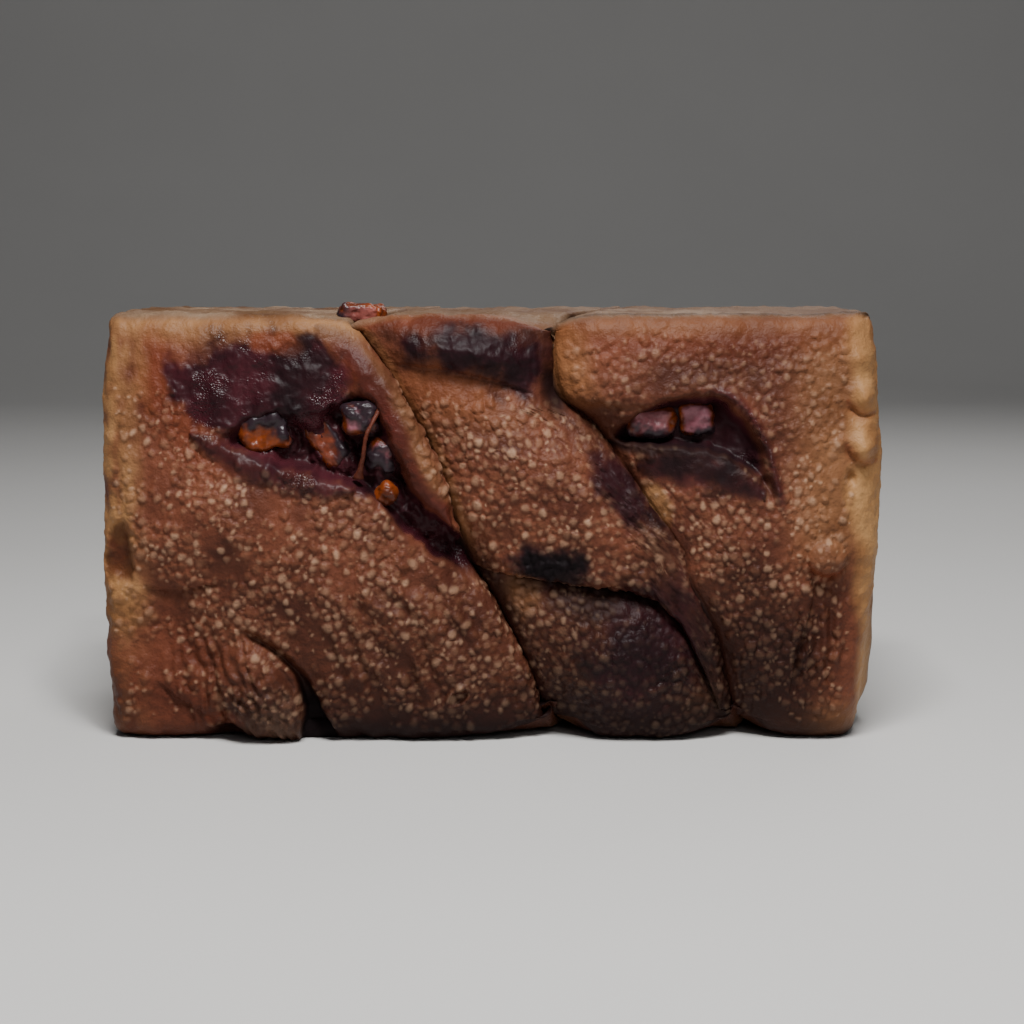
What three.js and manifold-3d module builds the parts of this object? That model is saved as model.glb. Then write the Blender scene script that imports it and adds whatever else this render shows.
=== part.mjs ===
// Twisted guava bread: two strands of dough wound together and baked in a straight-sided tin.
// The loaf stands on one long side, so the crown, with its creases and torn pockets of guava, is the front.
// Millimetres. +X runs along the loaf, +Z is up, and the crown faces -Y.
// The origin lies on the floor, under the middle of the loaf's box.
import * as THREE from "three";
import { RoundedBoxGeometry } from "three/addons/geometries/RoundedBoxGeometry.js";
import { mergeVertices } from "three/addons/utils/BufferGeometryUtils.js";
import Module from "manifold-3d";

// Driving dimensions of the loaf
const LENGTH = 229; // along the tin
const WIDTH = 126; // across the tin, upright as the loaf stands
const CROWN_DEPTH = 98; // from the base crust to the middle of the crown
const DOME_ACROSS = 5; // how far the crown falls towards the tin's long walls
const DOME_ALONG = 3; // and towards its end walls
const CORNER_RADIUS = 5; // between the tin's walls
// The same corners at the crown
const CROWN_CORNERS = { topLeft: 3, topRight: 8, bottomLeft: 4, bottomRight: 9 };
const BASE_RADIUS = 5; // between the walls and the base
const WALL_TAPER = 1.2; // how far each end wall and the upper long wall lean in towards the base
const WALL_HOLLOW = 0.15; // how far the long walls draw in between the corners that the loaf stands on
const HOLLOW_SLOPE = 0.02; // how fast that hollow deepens along the loaf, away from a corner
const HOLLOW_ACROSS = 0.6; // and how far it would arch across the wall, from the crown to the base
const END_TUCK = {
  // how far the crown draws in below and above the height where each end is fullest
  left: { fullest: 65, below: 1.2, above: 1.6 },
  right: { fullest: 88, below: 6.5, above: 2.2 },
};
const RIM_RADIUS = { left: 4, right: 8, top: 5, bottom: 6 }; // where the crown rolls over to each wall

// Fineness of the faceted surface
const COLUMNS_PER_STRAND = [26, 21, 20]; // left, middle and right strand
const ROWS = 40;
const WALL_RINGS = 5;
const BASE_RINGS = 2;
const PATH_STEPS = 48;
const TEAR_SECTIONS = 18; // along a tear
const TEAR_SIDES = 12; // round it
const COLUMN_CROWDING = 0.085; // crowds columns towards the creases, below 1 / (2 pi)
const ROW_CROWDING = 0.09; // crowds rows towards the rims, below 1 / (2 pi)

// Pieces of guava paste
const SOCKET_GAP = 0.35; // between a piece of guava and the dough round it
const GUAVA_RADIUS = 1.6;
const GUAVA_SEGMENTS = 1;
const GUAVA_UNEVEN = 0.05; // how far a piece departs from a plain block, as a share of its size

// Paths over the crown, as [x, z] pairs from one end to the other
const path = (...points) =>
  new THREE.SplineCurve(points.map(([x, z]) => new THREE.Vector2(x, z))).getPoints(PATH_STEPS);

const FIRST_CREASE = path(
  [18, -6], [16.5, 5], [12.5, 21], [5, 38], [-5, 53], [-8.5, 63],
  [-12, 73], [-18, 88], [-25, 100], [-31, 110.5], [-38, 120], [-45, 132],
);
const SECOND_CREASE = path(
  [73, -6], [71.5, 8], [66, 33], [58, 49], [56, 57], [45, 73],
  [32, 90], [25, 96.5], [17.5, 101], [15.5, 110], [17, 122], [18, 132],
);

// Creases between layers of dough. The layer on a path's left lies over the one on its right.
const CREASES = [
  {
    // left strand over the middle one
    path: FIRST_CREASE,
    over: { drop: 7, radius: 8 },
    under: { drop: 11, reach: 9 },
    notch: { depth: 3, width: 1.6 },
    fade: 0,
  },
  {
    // middle strand over the right one
    path: SECOND_CREASE,
    over: { drop: 7, radius: 9 },
    under: { drop: 10, reach: 9 },
    notch: { depth: 3, width: 1.6 },
    fade: 0,
  },
  {
    // the middle strand's lower edge, over the tail of the strand behind it
    path: path([2, 51], [8, 49], [20, 46.5], [32, 44.3], [44, 43], [53, 41.5], [57, 35], [61, 28], [68, 15]),
    over: { drop: 3, radius: 6 },
    under: { drop: 5, reach: 8 },
    fade: 0.14,
  },
  {
    // burnt roll at the middle strand's upper end
    path: path([-28, 110.5], [-14, 110.5], [0, 108.5], [14, 104]),
    over: { drop: 1.5, radius: 5 },
    under: { drop: 2.5, reach: 4 },
    fade: 0.15,
  },
  {
    // sagging bulge near the left end
    path: path([-104, 47.5], [-97, 46], [-88, 46.5], [-74, 50]),
    over: { drop: 2, radius: 6 },
    under: { drop: 2.2, reach: 6 },
    fade: 0.25,
  },
  {
    // fold in the lower left corner
    path: path([-101, 20], [-95, 14.5], [-89, 10.5], [-80, 6]),
    over: { drop: 1, radius: 4 },
    under: { drop: 2, reach: 5 },
    notch: { depth: 0.8, width: 1.5 },
    fade: 0.2,
  },
  {
    // upright fold near the right end
    path: path([87, 12], [88.5, 24], [91.5, 36], [93.5, 44], [92, 53]),
    over: { drop: 1.5, radius: 6 },
    under: { drop: 2.4, reach: 5 },
    notch: { depth: 1, width: 1.6 },
    fade: 0.2,
  },
];
const NO_NOTCH = { depth: 0, width: 1 };

// Tears in the crust. Each is a hollow along a path, with lips that stand up beside it.
const TEARS = [
  {
    // large pocket of the left strand
    path: path([-87, 92], [-74, 91], [-60, 89.5], [-48, 89.5], [-38, 89.5], [-30.5, 84], [-25.5, 71]),
    halfWidth: 8.4,
    depth: 12,
    lip: 1.6,
  },
  {
    // gap that runs on from it to the first crease
    path: path([-34, 82], [-27, 70.5], [-20, 62.5], [-12, 56.5], [-4, 51]),
    halfWidth: 3.6,
    depth: 12,
    lip: 0,
  },
  {
    // pocket of the right strand
    path: path([31, 88], [43, 92.5], [55, 94.5], [66, 93], [74, 87.5], [83, 75]),
    halfWidth: 7.6,
    depth: 12,
    lip: 1.6,
  },
  {
    // slit under the middle strand's lower edge
    path: path([4, 49], [20, 45.5], [32, 43.4], [44, 42], [52, 40.5], [56, 35], [60, 28]),
    halfWidth: 2.3,
    depth: 9,
    lip: 0,
  },
  {
    // between the left strand and the tucked-in knob
    path: path([-78, 33], [-67, 29.5], [-59.5, 24.5], [-56, 17], [-53, 7], [-51, -12]),
    halfWidth: 3.4,
    depth: 9,
    lip: 0,
  },
  {
    // notch at the left end
    path: path([-109, 69], [-108, 57.5], [-108, 45]),
    halfWidth: 3.2,
    depth: 4.5,
    lip: 0,
  },
];
const LIP_REACH = 4; // how wide a lip is

// Bulges of the crust, each an elliptical mound, or a hollow where the rise is negative.
// lean turns a bulge, in radians, so that its top moves to the left.
const BULGES = [
  { x: -48, z: 46, radiusX: 24, radiusZ: 58, rise: 3.5, lean: 0.95 }, // body of the left strand
  { x: 20, z: 75, radiusX: 17, radiusZ: 42, rise: 3.5, lean: 0.87 }, // body of the middle strand
  { x: 42, z: 25, radiusX: 16, radiusZ: 24, rise: 3, lean: 0.9 }, // tail behind it
  { x: 88, z: 55, radiusX: 24, radiusZ: 50, rise: 3, lean: 0.3 }, // body of the right strand
  { x: -64, z: 101, radiusX: 30, radiusZ: 13, rise: -4 }, // burnt hollow over the left pocket
  { x: 60, z: 98, radiusX: 22, radiusZ: 9, rise: -2.5 }, // hollow round the right pocket
  { x: -68, z: 12, radiusX: 12, radiusZ: 15, rise: 5 }, // tucked-in knob of dough
  { x: 97, z: 57, radiusX: 7.5, radiusZ: 7.5, rise: 3 }, // blister by the upright fold
  { x: 109, z: 104, radiusX: 6, radiusZ: 7, rise: 2.2 }, // lumps along the right rim
  { x: 108, z: 87, radiusX: 6, radiusZ: 6, rise: 2.4 },
  { x: -22, z: 92, radiusX: 5, radiusZ: 26, rise: 2.2, lean: 0.52 }, // flap beside the first crease
  { x: -5, z: 115, radiusX: 22, radiusZ: 7, rise: 2 }, // burnt roll at the top
];

// Seams where the strands meet on the long walls, from the end of a crease at the rim
const WALL_SEAMS = [
  { x: -40, z: WIDTH, inset: 3.2, halfWidth: 8 },
  { x: 16.5, z: WIDTH, inset: 2.4, halfWidth: 7 },
  { x: -51, z: 0, inset: 3, halfWidth: 7 },
  { x: 17, z: 0, inset: 3, halfWidth: 8 },
  { x: 72.5, z: 0, inset: 2.4, halfWidth: 6 },
];
const SEAM_LEAN = 0.25; // how far a seam runs along the loaf for each millimetre towards the base
const SEAM_LENGTH = 55; // from the rim to where a seam has closed

// Guava paste that shows. x and z place a piece in front view, proud is how far it stands out of the crown,
// and turn is its clockwise angle in that view, in degrees.
const GUAVA = [
  { name: "guava_cube_left", x: 46.3, z: 94.3, size: [13.4, 13, 9.4], proud: -2.5, turn: 2 },
  { name: "guava_cube_right", x: 59.6, z: 95.6, size: [10.6, 13, 10], proud: -3, turn: -7 },
  { name: "guava_chunk_charred", x: -66.5, z: 92, size: [14.5, 13, 11.5], proud: -0.5, turn: -12 },
  { name: "guava_slab", x: -48.8, z: 89.5, size: [7, 13, 16.5], proud: -4, turn: -38 },
  { name: "guava_lump_upper", x: -38.6, z: 96.6, size: [10.4, 12, 9], proud: 0.5, turn: -6 },
  { name: "guava_lump_lower", x: -32.4, z: 84.6, size: [8.4, 11, 10.4], proud: -3, turn: 14 },
  { name: "guava_bit", x: -30.6, z: 73.8, size: [6.4, 10, 5.6], proud: -2, turn: 40 },
  { name: "guava_tab", x: -39.2, z: 125.6, size: [13.6, 10, 6.4], proud: 1, turn: 3 },
];

const BREAD_CRUST = new THREE.MeshStandardMaterial({ color: 0x8a4f2a, roughness: 0.72, metalness: 0 });
const GUAVA_PASTE = new THREE.MeshStandardMaterial({ color: 0x6b2416, roughness: 0.35, metalness: 0 });

const wasm = await Module();
wasm.setup();

// Depth lost where a rounded edge falls away: the whole radius at the edge, and none from a radius inwards
function roundOff(distance, radius) {
  const inside = THREE.MathUtils.clamp(radius - distance, 0, radius);
  return radius - Math.sqrt(radius * radius - inside * inside);
}

// The point of a path nearest to (x, z): its distance, positive on the path's left, and its place from 0 to 1
function nearestOnPath(points, x, z) {
  let best = { distance: Infinity, along: 0 };
  for (let i = 0; i + 1 < points.length; i++) {
    const [a, b] = [points[i], points[i + 1]];
    const [stepX, stepZ] = [b.x - a.x, b.y - a.y];
    const share = ((x - a.x) * stepX + (z - a.y) * stepZ) / (stepX * stepX + stepZ * stepZ);
    const t = THREE.MathUtils.clamp(share, 0, 1);
    const [offX, offZ] = [x - a.x - t * stepX, z - a.y - t * stepZ];
    const distance = Math.hypot(offX, offZ);
    if (distance < Math.abs(best.distance)) {
      const left = stepX * offZ - stepZ * offX > 0;
      best = { distance: left ? distance : -distance, along: (i + t) / (points.length - 1) };
    }
  }
  return best;
}

function creaseDrop({ path: points, over, under, notch = NO_NOTCH, fade }, x, z) {
  const { distance, along } = nearestOnPath(points, x, z);
  const away = Math.abs(distance);
  const toEnd = Math.min(along, 1 - along);
  const strength = fade ? THREE.MathUtils.smoothstep(toEnd, 0, fade) : 1;
  const side =
    distance > 0
      ? (over.drop * roundOff(away, over.radius)) / over.radius
      : under.drop * Math.exp(-away / under.reach);
  return strength * (side + notch.depth * Math.exp(-((away / notch.width) ** 2)));
}

function lipRise({ path: points, halfWidth, lip }, x, z) {
  const { distance, along } = nearestOnPath(points, x, z);
  const open = Math.sqrt(Math.max(Math.sin(Math.PI * along), 0));
  const offLip = (Math.abs(distance) - halfWidth * open) / LIP_REACH;
  return lip * open * Math.exp(-offLip * offLip);
}

function bulgeRise({ x: middleX, z: middleZ, radiusX, radiusZ, rise, lean = 0 }, x, z) {
  const [cos, sin] = [Math.cos(lean), Math.sin(lean)];
  const across = ((x - middleX) * cos + (z - middleZ) * sin) / radiusX;
  const up = (-(x - middleX) * sin + (z - middleZ) * cos) / radiusZ;
  return rise * Math.exp(-1.5 * (across * across + up * up));
}

// How far the crown stands out past CROWN_DEPTH at (x, z), before it rolls over to the walls
function crownRelief(x, z) {
  const across = (2 * z) / WIDTH - 1;
  const along = (2 * x) / LENGTH;
  let relief = -DOME_ACROSS * across * across - DOME_ALONG * along * along;
  for (const crease of CREASES) relief -= creaseDrop(crease, x, z);
  for (const tear of TEARS) relief += lipRise(tear, x, z);
  for (const bulge of BULGES) relief += bulgeRise(bulge, x, z);
  return relief;
}

function rimDrop(x, z) {
  return Math.hypot(
    roundOff(x + LENGTH / 2, RIM_RADIUS.left),
    roundOff(LENGTH / 2 - x, RIM_RADIUS.right),
    roundOff(WIDTH - z, RIM_RADIUS.top),
    roundOff(z, RIM_RADIUS.bottom),
  );
}

// y of the crown's surface, with the base crust at y = 0
const crownY = (x, z) => -(CROWN_DEPTH + crownRelief(x, z) - rimDrop(x, z));

// Crowds a share from 0 to 1 towards both of its ends
const crowd = (share, amount) => share - amount * Math.sin(2 * Math.PI * share);

// x of a crease where it crosses the height z
function creaseX(points, z) {
  const next = Math.max(1, points.findIndex((p) => p.y > z));
  const [a, b] = [points[next - 1], points[next]];
  return THREE.MathUtils.lerp(a.x, b.x, (z - a.y) / (b.y - a.y));
}

// x of every column at the height z: the columns run along the strands, with one on each crease
function columnsAt(z) {
  const edges = [-LENGTH / 2, creaseX(FIRST_CREASE, z), creaseX(SECOND_CREASE, z), LENGTH / 2];
  const columns = [edges[0]];
  COLUMNS_PER_STRAND.forEach((count, strand) => {
    for (let i = 1; i <= count; i++) {
      const share = crowd(i / count, COLUMN_CROWDING);
      columns.push(THREE.MathUtils.lerp(edges[strand], edges[strand + 1], share));
    }
  });
  return columns;
}

// Radius of the corner that a point of the outline is nearest to
function cornerRadius(x, z, wallShare) {
  const corner = (z > WIDTH / 2 ? "top" : "bottom") + (x > 0 ? "Right" : "Left");
  return THREE.MathUtils.lerp(CROWN_CORNERS[corner], CORNER_RADIUS, wallShare);
}

// Rounds the loaf's outline in front view: a square corner becomes a quarter circle
function roundCorner(x, z, wallShare) {
  const radius = cornerRadius(x, z, wallShare);
  const overX = Math.abs(x) - (LENGTH / 2 - radius);
  const overZ = Math.abs(z - WIDTH / 2) - (WIDTH / 2 - radius);
  if (overX <= 0 || overZ <= 0) return [x, z];
  const pull = 1 - Math.max(overX, overZ) / Math.hypot(overX, overZ);
  return [x - Math.sign(x) * overX * pull, z - Math.sign(z - WIDTH / 2) * overZ * pull];
}

// How far an end of the crown draws in at the height z
function endTuck(x, z) {
  const { fullest, below, above } = x > 0 ? END_TUCK.right : END_TUCK.left;
  return z < fullest ? below * (1 - z / fullest) ** 2 : above * ((z - fullest) / (WIDTH - fullest)) ** 2;
}

// How far a long wall is hollow: nothing at its four corners, and the same all over between them
function wallHollow(x, z, wallShare) {
  const along = HOLLOW_SLOPE * (LENGTH / 2 - cornerRadius(x, z, wallShare) - Math.abs(x));
  const across = HOLLOW_ACROSS * 4 * wallShare * (1 - wallShare);
  return THREE.MathUtils.clamp(along + across, 0, WALL_HOLLOW);
}

// Moves a point of the outline to where the wall stands at some distance behind the rim
function wallPoint(x, z, behindRim, wallShare) {
  let [wallX, wallZ] = roundCorner(x, z, wallShare);
  wallX *= 1 - THREE.MathUtils.lerp(endTuck(x, z), WALL_TAPER, wallShare) / (LENGTH / 2);
  wallZ -= wallShare * WALL_TAPER * (wallZ / WIDTH);
  wallZ += wallHollow(x, z, wallShare) * (1 - (2 * z) / WIDTH);
  for (const seam of WALL_SEAMS) {
    const onWall = Math.exp(-(((z - seam.z) / seam.halfWidth) ** 2));
    const offSeam = (x - seam.x - SEAM_LEAN * behindRim) / seam.halfWidth;
    const open = Math.max(1 - behindRim / SEAM_LENGTH, 0) ** 2;
    const inset = seam.inset * open * onWall * Math.exp(-offSeam * offSeam);
    wallZ += seam.z > WIDTH / 2 ? -inset : inset;
  }
  return [wallX, wallZ];
}

// The loaf's closed surface: the crown as a grid of columns and rows, rings down the walls, and the base
function loafGeometry() {
  const positions = [];
  const index = [];
  const addPoint = (x, y, z) => positions.push(x, y, z) / 3 - 1;
  const addQuad = (a, b, c, d) => index.push(a, b, c, a, c, d);

  const crown = [];
  for (let row = 0; row <= ROWS; row++) {
    const z = WIDTH * crowd(row / ROWS, ROW_CROWDING);
    const points = columnsAt(z).map((x) => {
      const [wallX, wallZ] = wallPoint(x, z, 0, 0);
      return { x, z, id: addPoint(wallX, crownY(x, z), wallZ) };
    });
    crown.push(points);
  }
  for (let row = 0; row < ROWS; row++) {
    for (let column = 0; column + 1 < crown[row].length; column++) {
      const [low, high] = [crown[row], crown[row + 1]];
      addQuad(low[column].id, low[column + 1].id, high[column + 1].id, high[column].id);
    }
  }

  const last = crown[0].length - 1;
  const outline = [
    ...crown[0].slice(0, last),
    ...crown.slice(0, ROWS).map((points) => points[last]),
    ...crown[ROWS].slice(1).reverse(),
    ...crown.slice(1).map((points) => points[0]).reverse(),
  ];

  const wallEnd = -BASE_RADIUS;
  let ring = outline.map((point) => point.id);
  const addRing = (placePoint) => {
    const next = outline.map(placePoint);
    next.forEach((id, i) => {
      const j = (i + 1) % next.length;
      addQuad(ring[i], id, next[j], ring[j]);
    });
    ring = next;
  };
  for (let i = 1; i <= WALL_RINGS; i++) {
    const share = i / WALL_RINGS;
    addRing(({ x, z }) => {
      const rimY = crownY(x, z);
      const y = THREE.MathUtils.lerp(rimY, wallEnd, share);
      const [wallX, wallZ] = wallPoint(x, z, y - rimY, share);
      return addPoint(wallX, y, wallZ);
    });
  }
  for (let i = 1; i <= BASE_RINGS; i++) {
    const angle = (i / BASE_RINGS) * (Math.PI / 2);
    const inset = BASE_RADIUS * (1 - Math.cos(angle));
    addRing(({ x, z }) => {
      const [wallX, wallZ] = wallPoint(x, z, SEAM_LENGTH, 1);
      const baseX = wallX * (1 - inset / (LENGTH / 2));
      const baseZ = WIDTH / 2 + (wallZ - WIDTH / 2) * (1 - inset / (WIDTH / 2));
      return addPoint(baseX, wallEnd + BASE_RADIUS * Math.sin(angle), baseZ);
    });
  }
  const middle = addPoint(0, 0, WIDTH / 2);
  ring.forEach((id, i) => index.push(id, middle, ring[(i + 1) % ring.length]));

  const geometry = new THREE.BufferGeometry();
  geometry.setAttribute("position", new THREE.Float32BufferAttribute(positions, 3));
  geometry.setIndex(index);
  return geometry;
}

// The hollow of a tear: a ball drawn out along the tear's path, half of it in the dough
function tearGeometry({ path: points, halfWidth, depth }) {
  const ball = new THREE.SphereGeometry(1, TEAR_SIDES, TEAR_SECTIONS);
  const position = ball.attributes.position;
  for (let i = 0; i < position.count; i++) {
    const place = ((1 + position.getY(i)) / 2) * PATH_STEPS;
    const step = Math.min(Math.floor(place), PATH_STEPS - 1);
    const [a, b] = [points[step], points[step + 1]];
    const spine = a.clone().lerp(b, place - step);
    const run = b.clone().sub(a).normalize();
    const across = position.getX(i) * halfWidth;
    const y = crownY(spine.x, spine.y) + position.getZ(i) * depth;
    position.setXYZ(i, spine.x - run.y * across, y, spine.y + run.x * across);
  }
  return ball;
}

// A block of guava paste, a little uneven as it was cut and baked, grown by clearance on every side
function guavaGeometry([width, depth, height], clearance) {
  const grown = [width, depth, height].map((side) => side + 2 * clearance);
  const block = new RoundedBoxGeometry(...grown, GUAVA_SEGMENTS, GUAVA_RADIUS);
  const position = block.attributes.position;
  for (let i = 0; i < position.count; i++) {
    const [x, y, z] = [position.getX(i), position.getY(i), position.getZ(i)];
    const swell = 1 + GUAVA_UNEVEN * Math.sin((5 * x) / width + (3 * y) / depth) * Math.cos((4 * z) / height);
    position.setXYZ(i, x * swell, y, z * swell);
  }
  return block;
}

function placeGuava(mesh, { x, z, size, proud, turn }) {
  const depth = size[1];
  mesh.position.set(x, crownY(x, z) - proud + depth / 2, z);
  mesh.rotation.y = THREE.MathUtils.degToRad(turn);
  mesh.updateMatrix();
  return mesh;
}

// A closed mesh as a solid that can be cut
function solidOf(mesh) {
  const bare = mesh.geometry.clone().applyMatrix4(mesh.matrix);
  bare.deleteAttribute("normal");
  bare.deleteAttribute("uv");
  const merged = mergeVertices(bare);
  return new wasm.Manifold(
    new wasm.Mesh({
      numProp: 3,
      vertProperties: merged.attributes.position.array,
      triVerts: new Uint32Array(merged.index.array),
    }),
  );
}

function geometryOf(solid) {
  const { vertProperties, triVerts } = solid.getMesh();
  const geometry = new THREE.BufferGeometry();
  geometry.setAttribute("position", new THREE.BufferAttribute(vertProperties, 3));
  geometry.setIndex(new THREE.BufferAttribute(triVerts, 1));
  geometry.computeVertexNormals();
  return geometry;
}

const bread = new THREE.Group();

const loaf = new THREE.Mesh(loafGeometry(), BREAD_CRUST);
loaf.name = "loaf";
let dough = solidOf(loaf);
for (const tear of TEARS) dough = dough.subtract(solidOf(new THREE.Mesh(tearGeometry(tear))));
for (const piece of GUAVA) {
  const guava = placeGuava(new THREE.Mesh(guavaGeometry(piece.size, 0), GUAVA_PASTE), piece);
  guava.name = piece.name;
  bread.add(guava);
  const socket = placeGuava(new THREE.Mesh(guavaGeometry(piece.size, SOCKET_GAP)), piece);
  dough = dough.subtract(solidOf(socket));
}
loaf.geometry = geometryOf(dough);
bread.add(loaf);

// Sets the origin under the middle of the loaf's box
const box = new THREE.Box3().setFromObject(bread);
const centre = box.getCenter(new THREE.Vector3());
bread.position.set(-centre.x, -centre.y, -box.min.z);

export default bread;
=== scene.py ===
"""Guava bread: a twisted loaf, baked in a tin, with torn pockets of guava paste in its crown.

It stands on one of its long sides, so the crown is its front.
"""

import math
from collections import namedtuple
from types import SimpleNamespace

import bpy
import numpy as np
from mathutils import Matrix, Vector, kdtree


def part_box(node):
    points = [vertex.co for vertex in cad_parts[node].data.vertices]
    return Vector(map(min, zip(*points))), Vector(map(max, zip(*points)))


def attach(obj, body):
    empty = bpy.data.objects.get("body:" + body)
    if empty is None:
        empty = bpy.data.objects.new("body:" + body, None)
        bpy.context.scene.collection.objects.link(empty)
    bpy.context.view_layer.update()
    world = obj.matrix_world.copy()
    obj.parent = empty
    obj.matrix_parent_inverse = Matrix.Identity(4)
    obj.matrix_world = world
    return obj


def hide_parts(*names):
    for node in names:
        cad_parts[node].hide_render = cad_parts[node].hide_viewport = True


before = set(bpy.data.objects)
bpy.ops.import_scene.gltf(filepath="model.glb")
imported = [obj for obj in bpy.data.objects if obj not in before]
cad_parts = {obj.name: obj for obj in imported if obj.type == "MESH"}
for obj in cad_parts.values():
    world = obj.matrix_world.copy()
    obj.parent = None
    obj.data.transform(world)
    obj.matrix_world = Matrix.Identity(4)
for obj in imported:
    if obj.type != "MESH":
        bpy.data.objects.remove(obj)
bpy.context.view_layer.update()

# Sizes of the loaf, in millimetres
# x runs along it, z is up, and y runs from the crown (negative) to the base (0)
MM = 0.001
LOAF_LOW, LOAF_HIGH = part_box("loaf")
LENGTH = (LOAF_HIGH.x - LOAF_LOW.x) / MM
WIDTH = (LOAF_HIGH.z - LOAF_LOW.z) / MM
CROWN_DEPTH = 98.0
DOME_ACROSS = {"top": 9.0, "bottom": 5.0}
DOME_ALONG = 3.0
BASE_RADIUS = 5.0
WALL_TAPER = 1.2
END_RADIUS = {"left": 4.0, "right": 8.0}
WALL_END_RADIUS = 3.0
RIM_RADIUS = {"top": 5.0, "bottom": 6.0}
SEAM_LEAN = 0.25

# How a strand's edge rolls over or tucks under its neighbour
ROLL_TURN = math.radians(150)
TUCK = 6.0

# The slit across the middle strand
SLIT_TUCK = 5.0
SLIT_ROLL = 5.0
SLIT_DROP = 6.5
SLIT_REACH = 8.0

# How many rows go round the loaf, zone by zone
ROWS = {"wall": 24, "rim_bottom": 16, "crown": 228, "rim_top": 14, "corner": 4, "base": 12}
FOLD_ROWS = {"below": 74, "under": 8, "roll": 22, "above": 150}


def to_metres(points):
    """Points in millimetres of the loaf as metres of the frame."""
    shift = np.array([(LOAF_LOW.x + LOAF_HIGH.x) / 2, LOAF_HIGH.y, LOAF_LOW.z])
    return points * MM + shift


# Small tools for shapes over the crown

def smoothstep(low, high, value):
    t = np.clip((value - low) / (high - low), 0.0, 1.0)
    return t * t * (3.0 - 2.0 * t)


def mix(a, b, share):
    return a + (b - a) * share


def strongest(*masks):
    """The highest of some masks at every point."""
    return np.maximum.reduce(masks)


def noise(x, z, size, seed):
    """Smooth noise between about -1 and 1, with lumps about `size` across."""
    angle = np.random.default_rng(seed).random((64, 64)) * 2.0 * math.pi
    u, v = x / size, z / size
    i, j = np.floor(u).astype(int), np.floor(v).astype(int)
    fu, fv = u - i, v - j

    def corner(di, dj):
        turn = angle[(i + di) % 64, (j + dj) % 64]
        return np.cos(turn) * (fu - di) + np.sin(turn) * (fv - dj)

    def ease(t):
        return t * t * t * (t * (6 * t - 15) + 10)

    lower = mix(corner(0, 0), corner(1, 0), ease(fu))
    upper = mix(corner(0, 1), corner(1, 1), ease(fu))
    return 1.5 * mix(lower, upper, ease(fv))


def rough_noise(x, z, size, seed, octaves=4):
    """Noise with ever finer lumps added, each at half the strength of the last."""
    total = 0.0
    for octave in range(octaves):
        total = total + noise(x, z, size / 2**octave, seed + octave) / 2**octave
    return total


def smooth_path(*points, steps=12):
    """A rounded line through some [x, z] points."""
    p = np.array(points, float)
    p = np.vstack([2 * p[0] - p[1], p, 2 * p[-1] - p[-2]])
    t = np.linspace(0, 1, steps, endpoint=False)[:, None]
    spans = []
    for a, b, c, d in zip(p, p[1:], p[2:], p[3:]):
        square = (2 * a - 5 * b + 4 * c - d) * t**2
        cube = (3 * b - a - 3 * c + d) * t**3
        spans.append(0.5 * (2 * b + (c - a) * t + square + cube))
    return np.vstack(spans + [p[-2:-1]])


def nearest_on_path(path, x, z, margin=40.0):
    """Distance to a path, positive on its left, and the place along it from 0 to 1.

    Points further off than the margin get a distance of -1000.
    """
    distance, along = np.full(x.shape, -1e3), np.zeros(x.shape)
    low, high = path.min(0) - margin, path.max(0) + margin
    near = (x > low[0]) & (x < high[0]) & (z > low[1]) & (z < high[1])
    px, pz = x[near], z[near]
    best, place = np.full(px.shape, 1e3), np.zeros(px.shape)
    for k, (a, b) in enumerate(zip(path, path[1:])):
        step = b - a
        t = np.clip(((px - a[0]) * step[0] + (pz - a[1]) * step[1]) / (step @ step), 0, 1)
        ox, oz = px - a[0] - t * step[0], pz - a[1] - t * step[1]
        away = np.hypot(ox, oz)
        closer = away < np.abs(best)
        side = np.where(step[0] * oz - step[1] * ox > 0, 1.0, -1.0)
        best = np.where(closer, side * away, best)
        place = np.where(closer, (k + t) / (len(path) - 1), place)
    distance[near] = best
    along[near] = place
    return distance, along


def ellipse(x, z, middle, radii, lean=0.0):
    """Distance from an ellipse's middle, 1 on its edge. lean, in radians, moves its top to the left."""
    dx, dz = x - middle[0], z - middle[1]
    cos, sin = math.cos(lean), math.sin(lean)
    return np.hypot((dx * cos + dz * sin) / radii[0], (dz * cos - dx * sin) / radii[1])


def mound(x, z, middle, radii, lean=0.0):
    """1 in the middle of an ellipse, falling away smoothly."""
    return np.exp(-1.5 * ellipse(x, z, middle, radii, lean) ** 2)


def patch(x, z, middle, radii, lean=0.0, soft=0.35, ragged=0.3, seed=1):
    """A blotch with a ragged edge, 1 inside and 0 outside."""
    edge = ellipse(x, z, middle, radii, lean) + ragged * rough_noise(x, z, 7.0, seed)
    return smoothstep(1 + soft, 1 - soft, edge)


def streak(x, z, path, half_width, soft=0.5, ragged=0.3, seed=1):
    """A band along a path, 1 on it and 0 away from it, tapered to its ends."""
    distance, along = nearest_on_path(path, x, z)
    taper = np.sqrt(np.clip(np.sin(math.pi * along), 0, 1)) + 1e-6
    edge = np.abs(distance) / (half_width * taper) + ragged * rough_noise(x, z, 5.0, seed)
    return smoothstep(1 + soft, 1 - soft, edge)


def crease(x, z, path, over, under, fade=0.2):
    """Depth of a fold: the dough on the path's left rolls over the dough on its right.

    over and under are each a depth and a reach. The fold fades out over a share of its length at each end.
    """
    distance, along = nearest_on_path(path, x, z)
    away = np.abs(distance)
    strength = smoothstep(0, fade, np.minimum(along, 1 - along))
    rolled = np.clip(over[1] - away, 0, over[1])
    over_side = over[0] * (over[1] - np.sqrt(over[1] ** 2 - rolled**2)) / over[1]
    under_side = under[0] * np.exp(-away / under[1])
    return strength * np.where(distance > 0, over_side, under_side)


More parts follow.
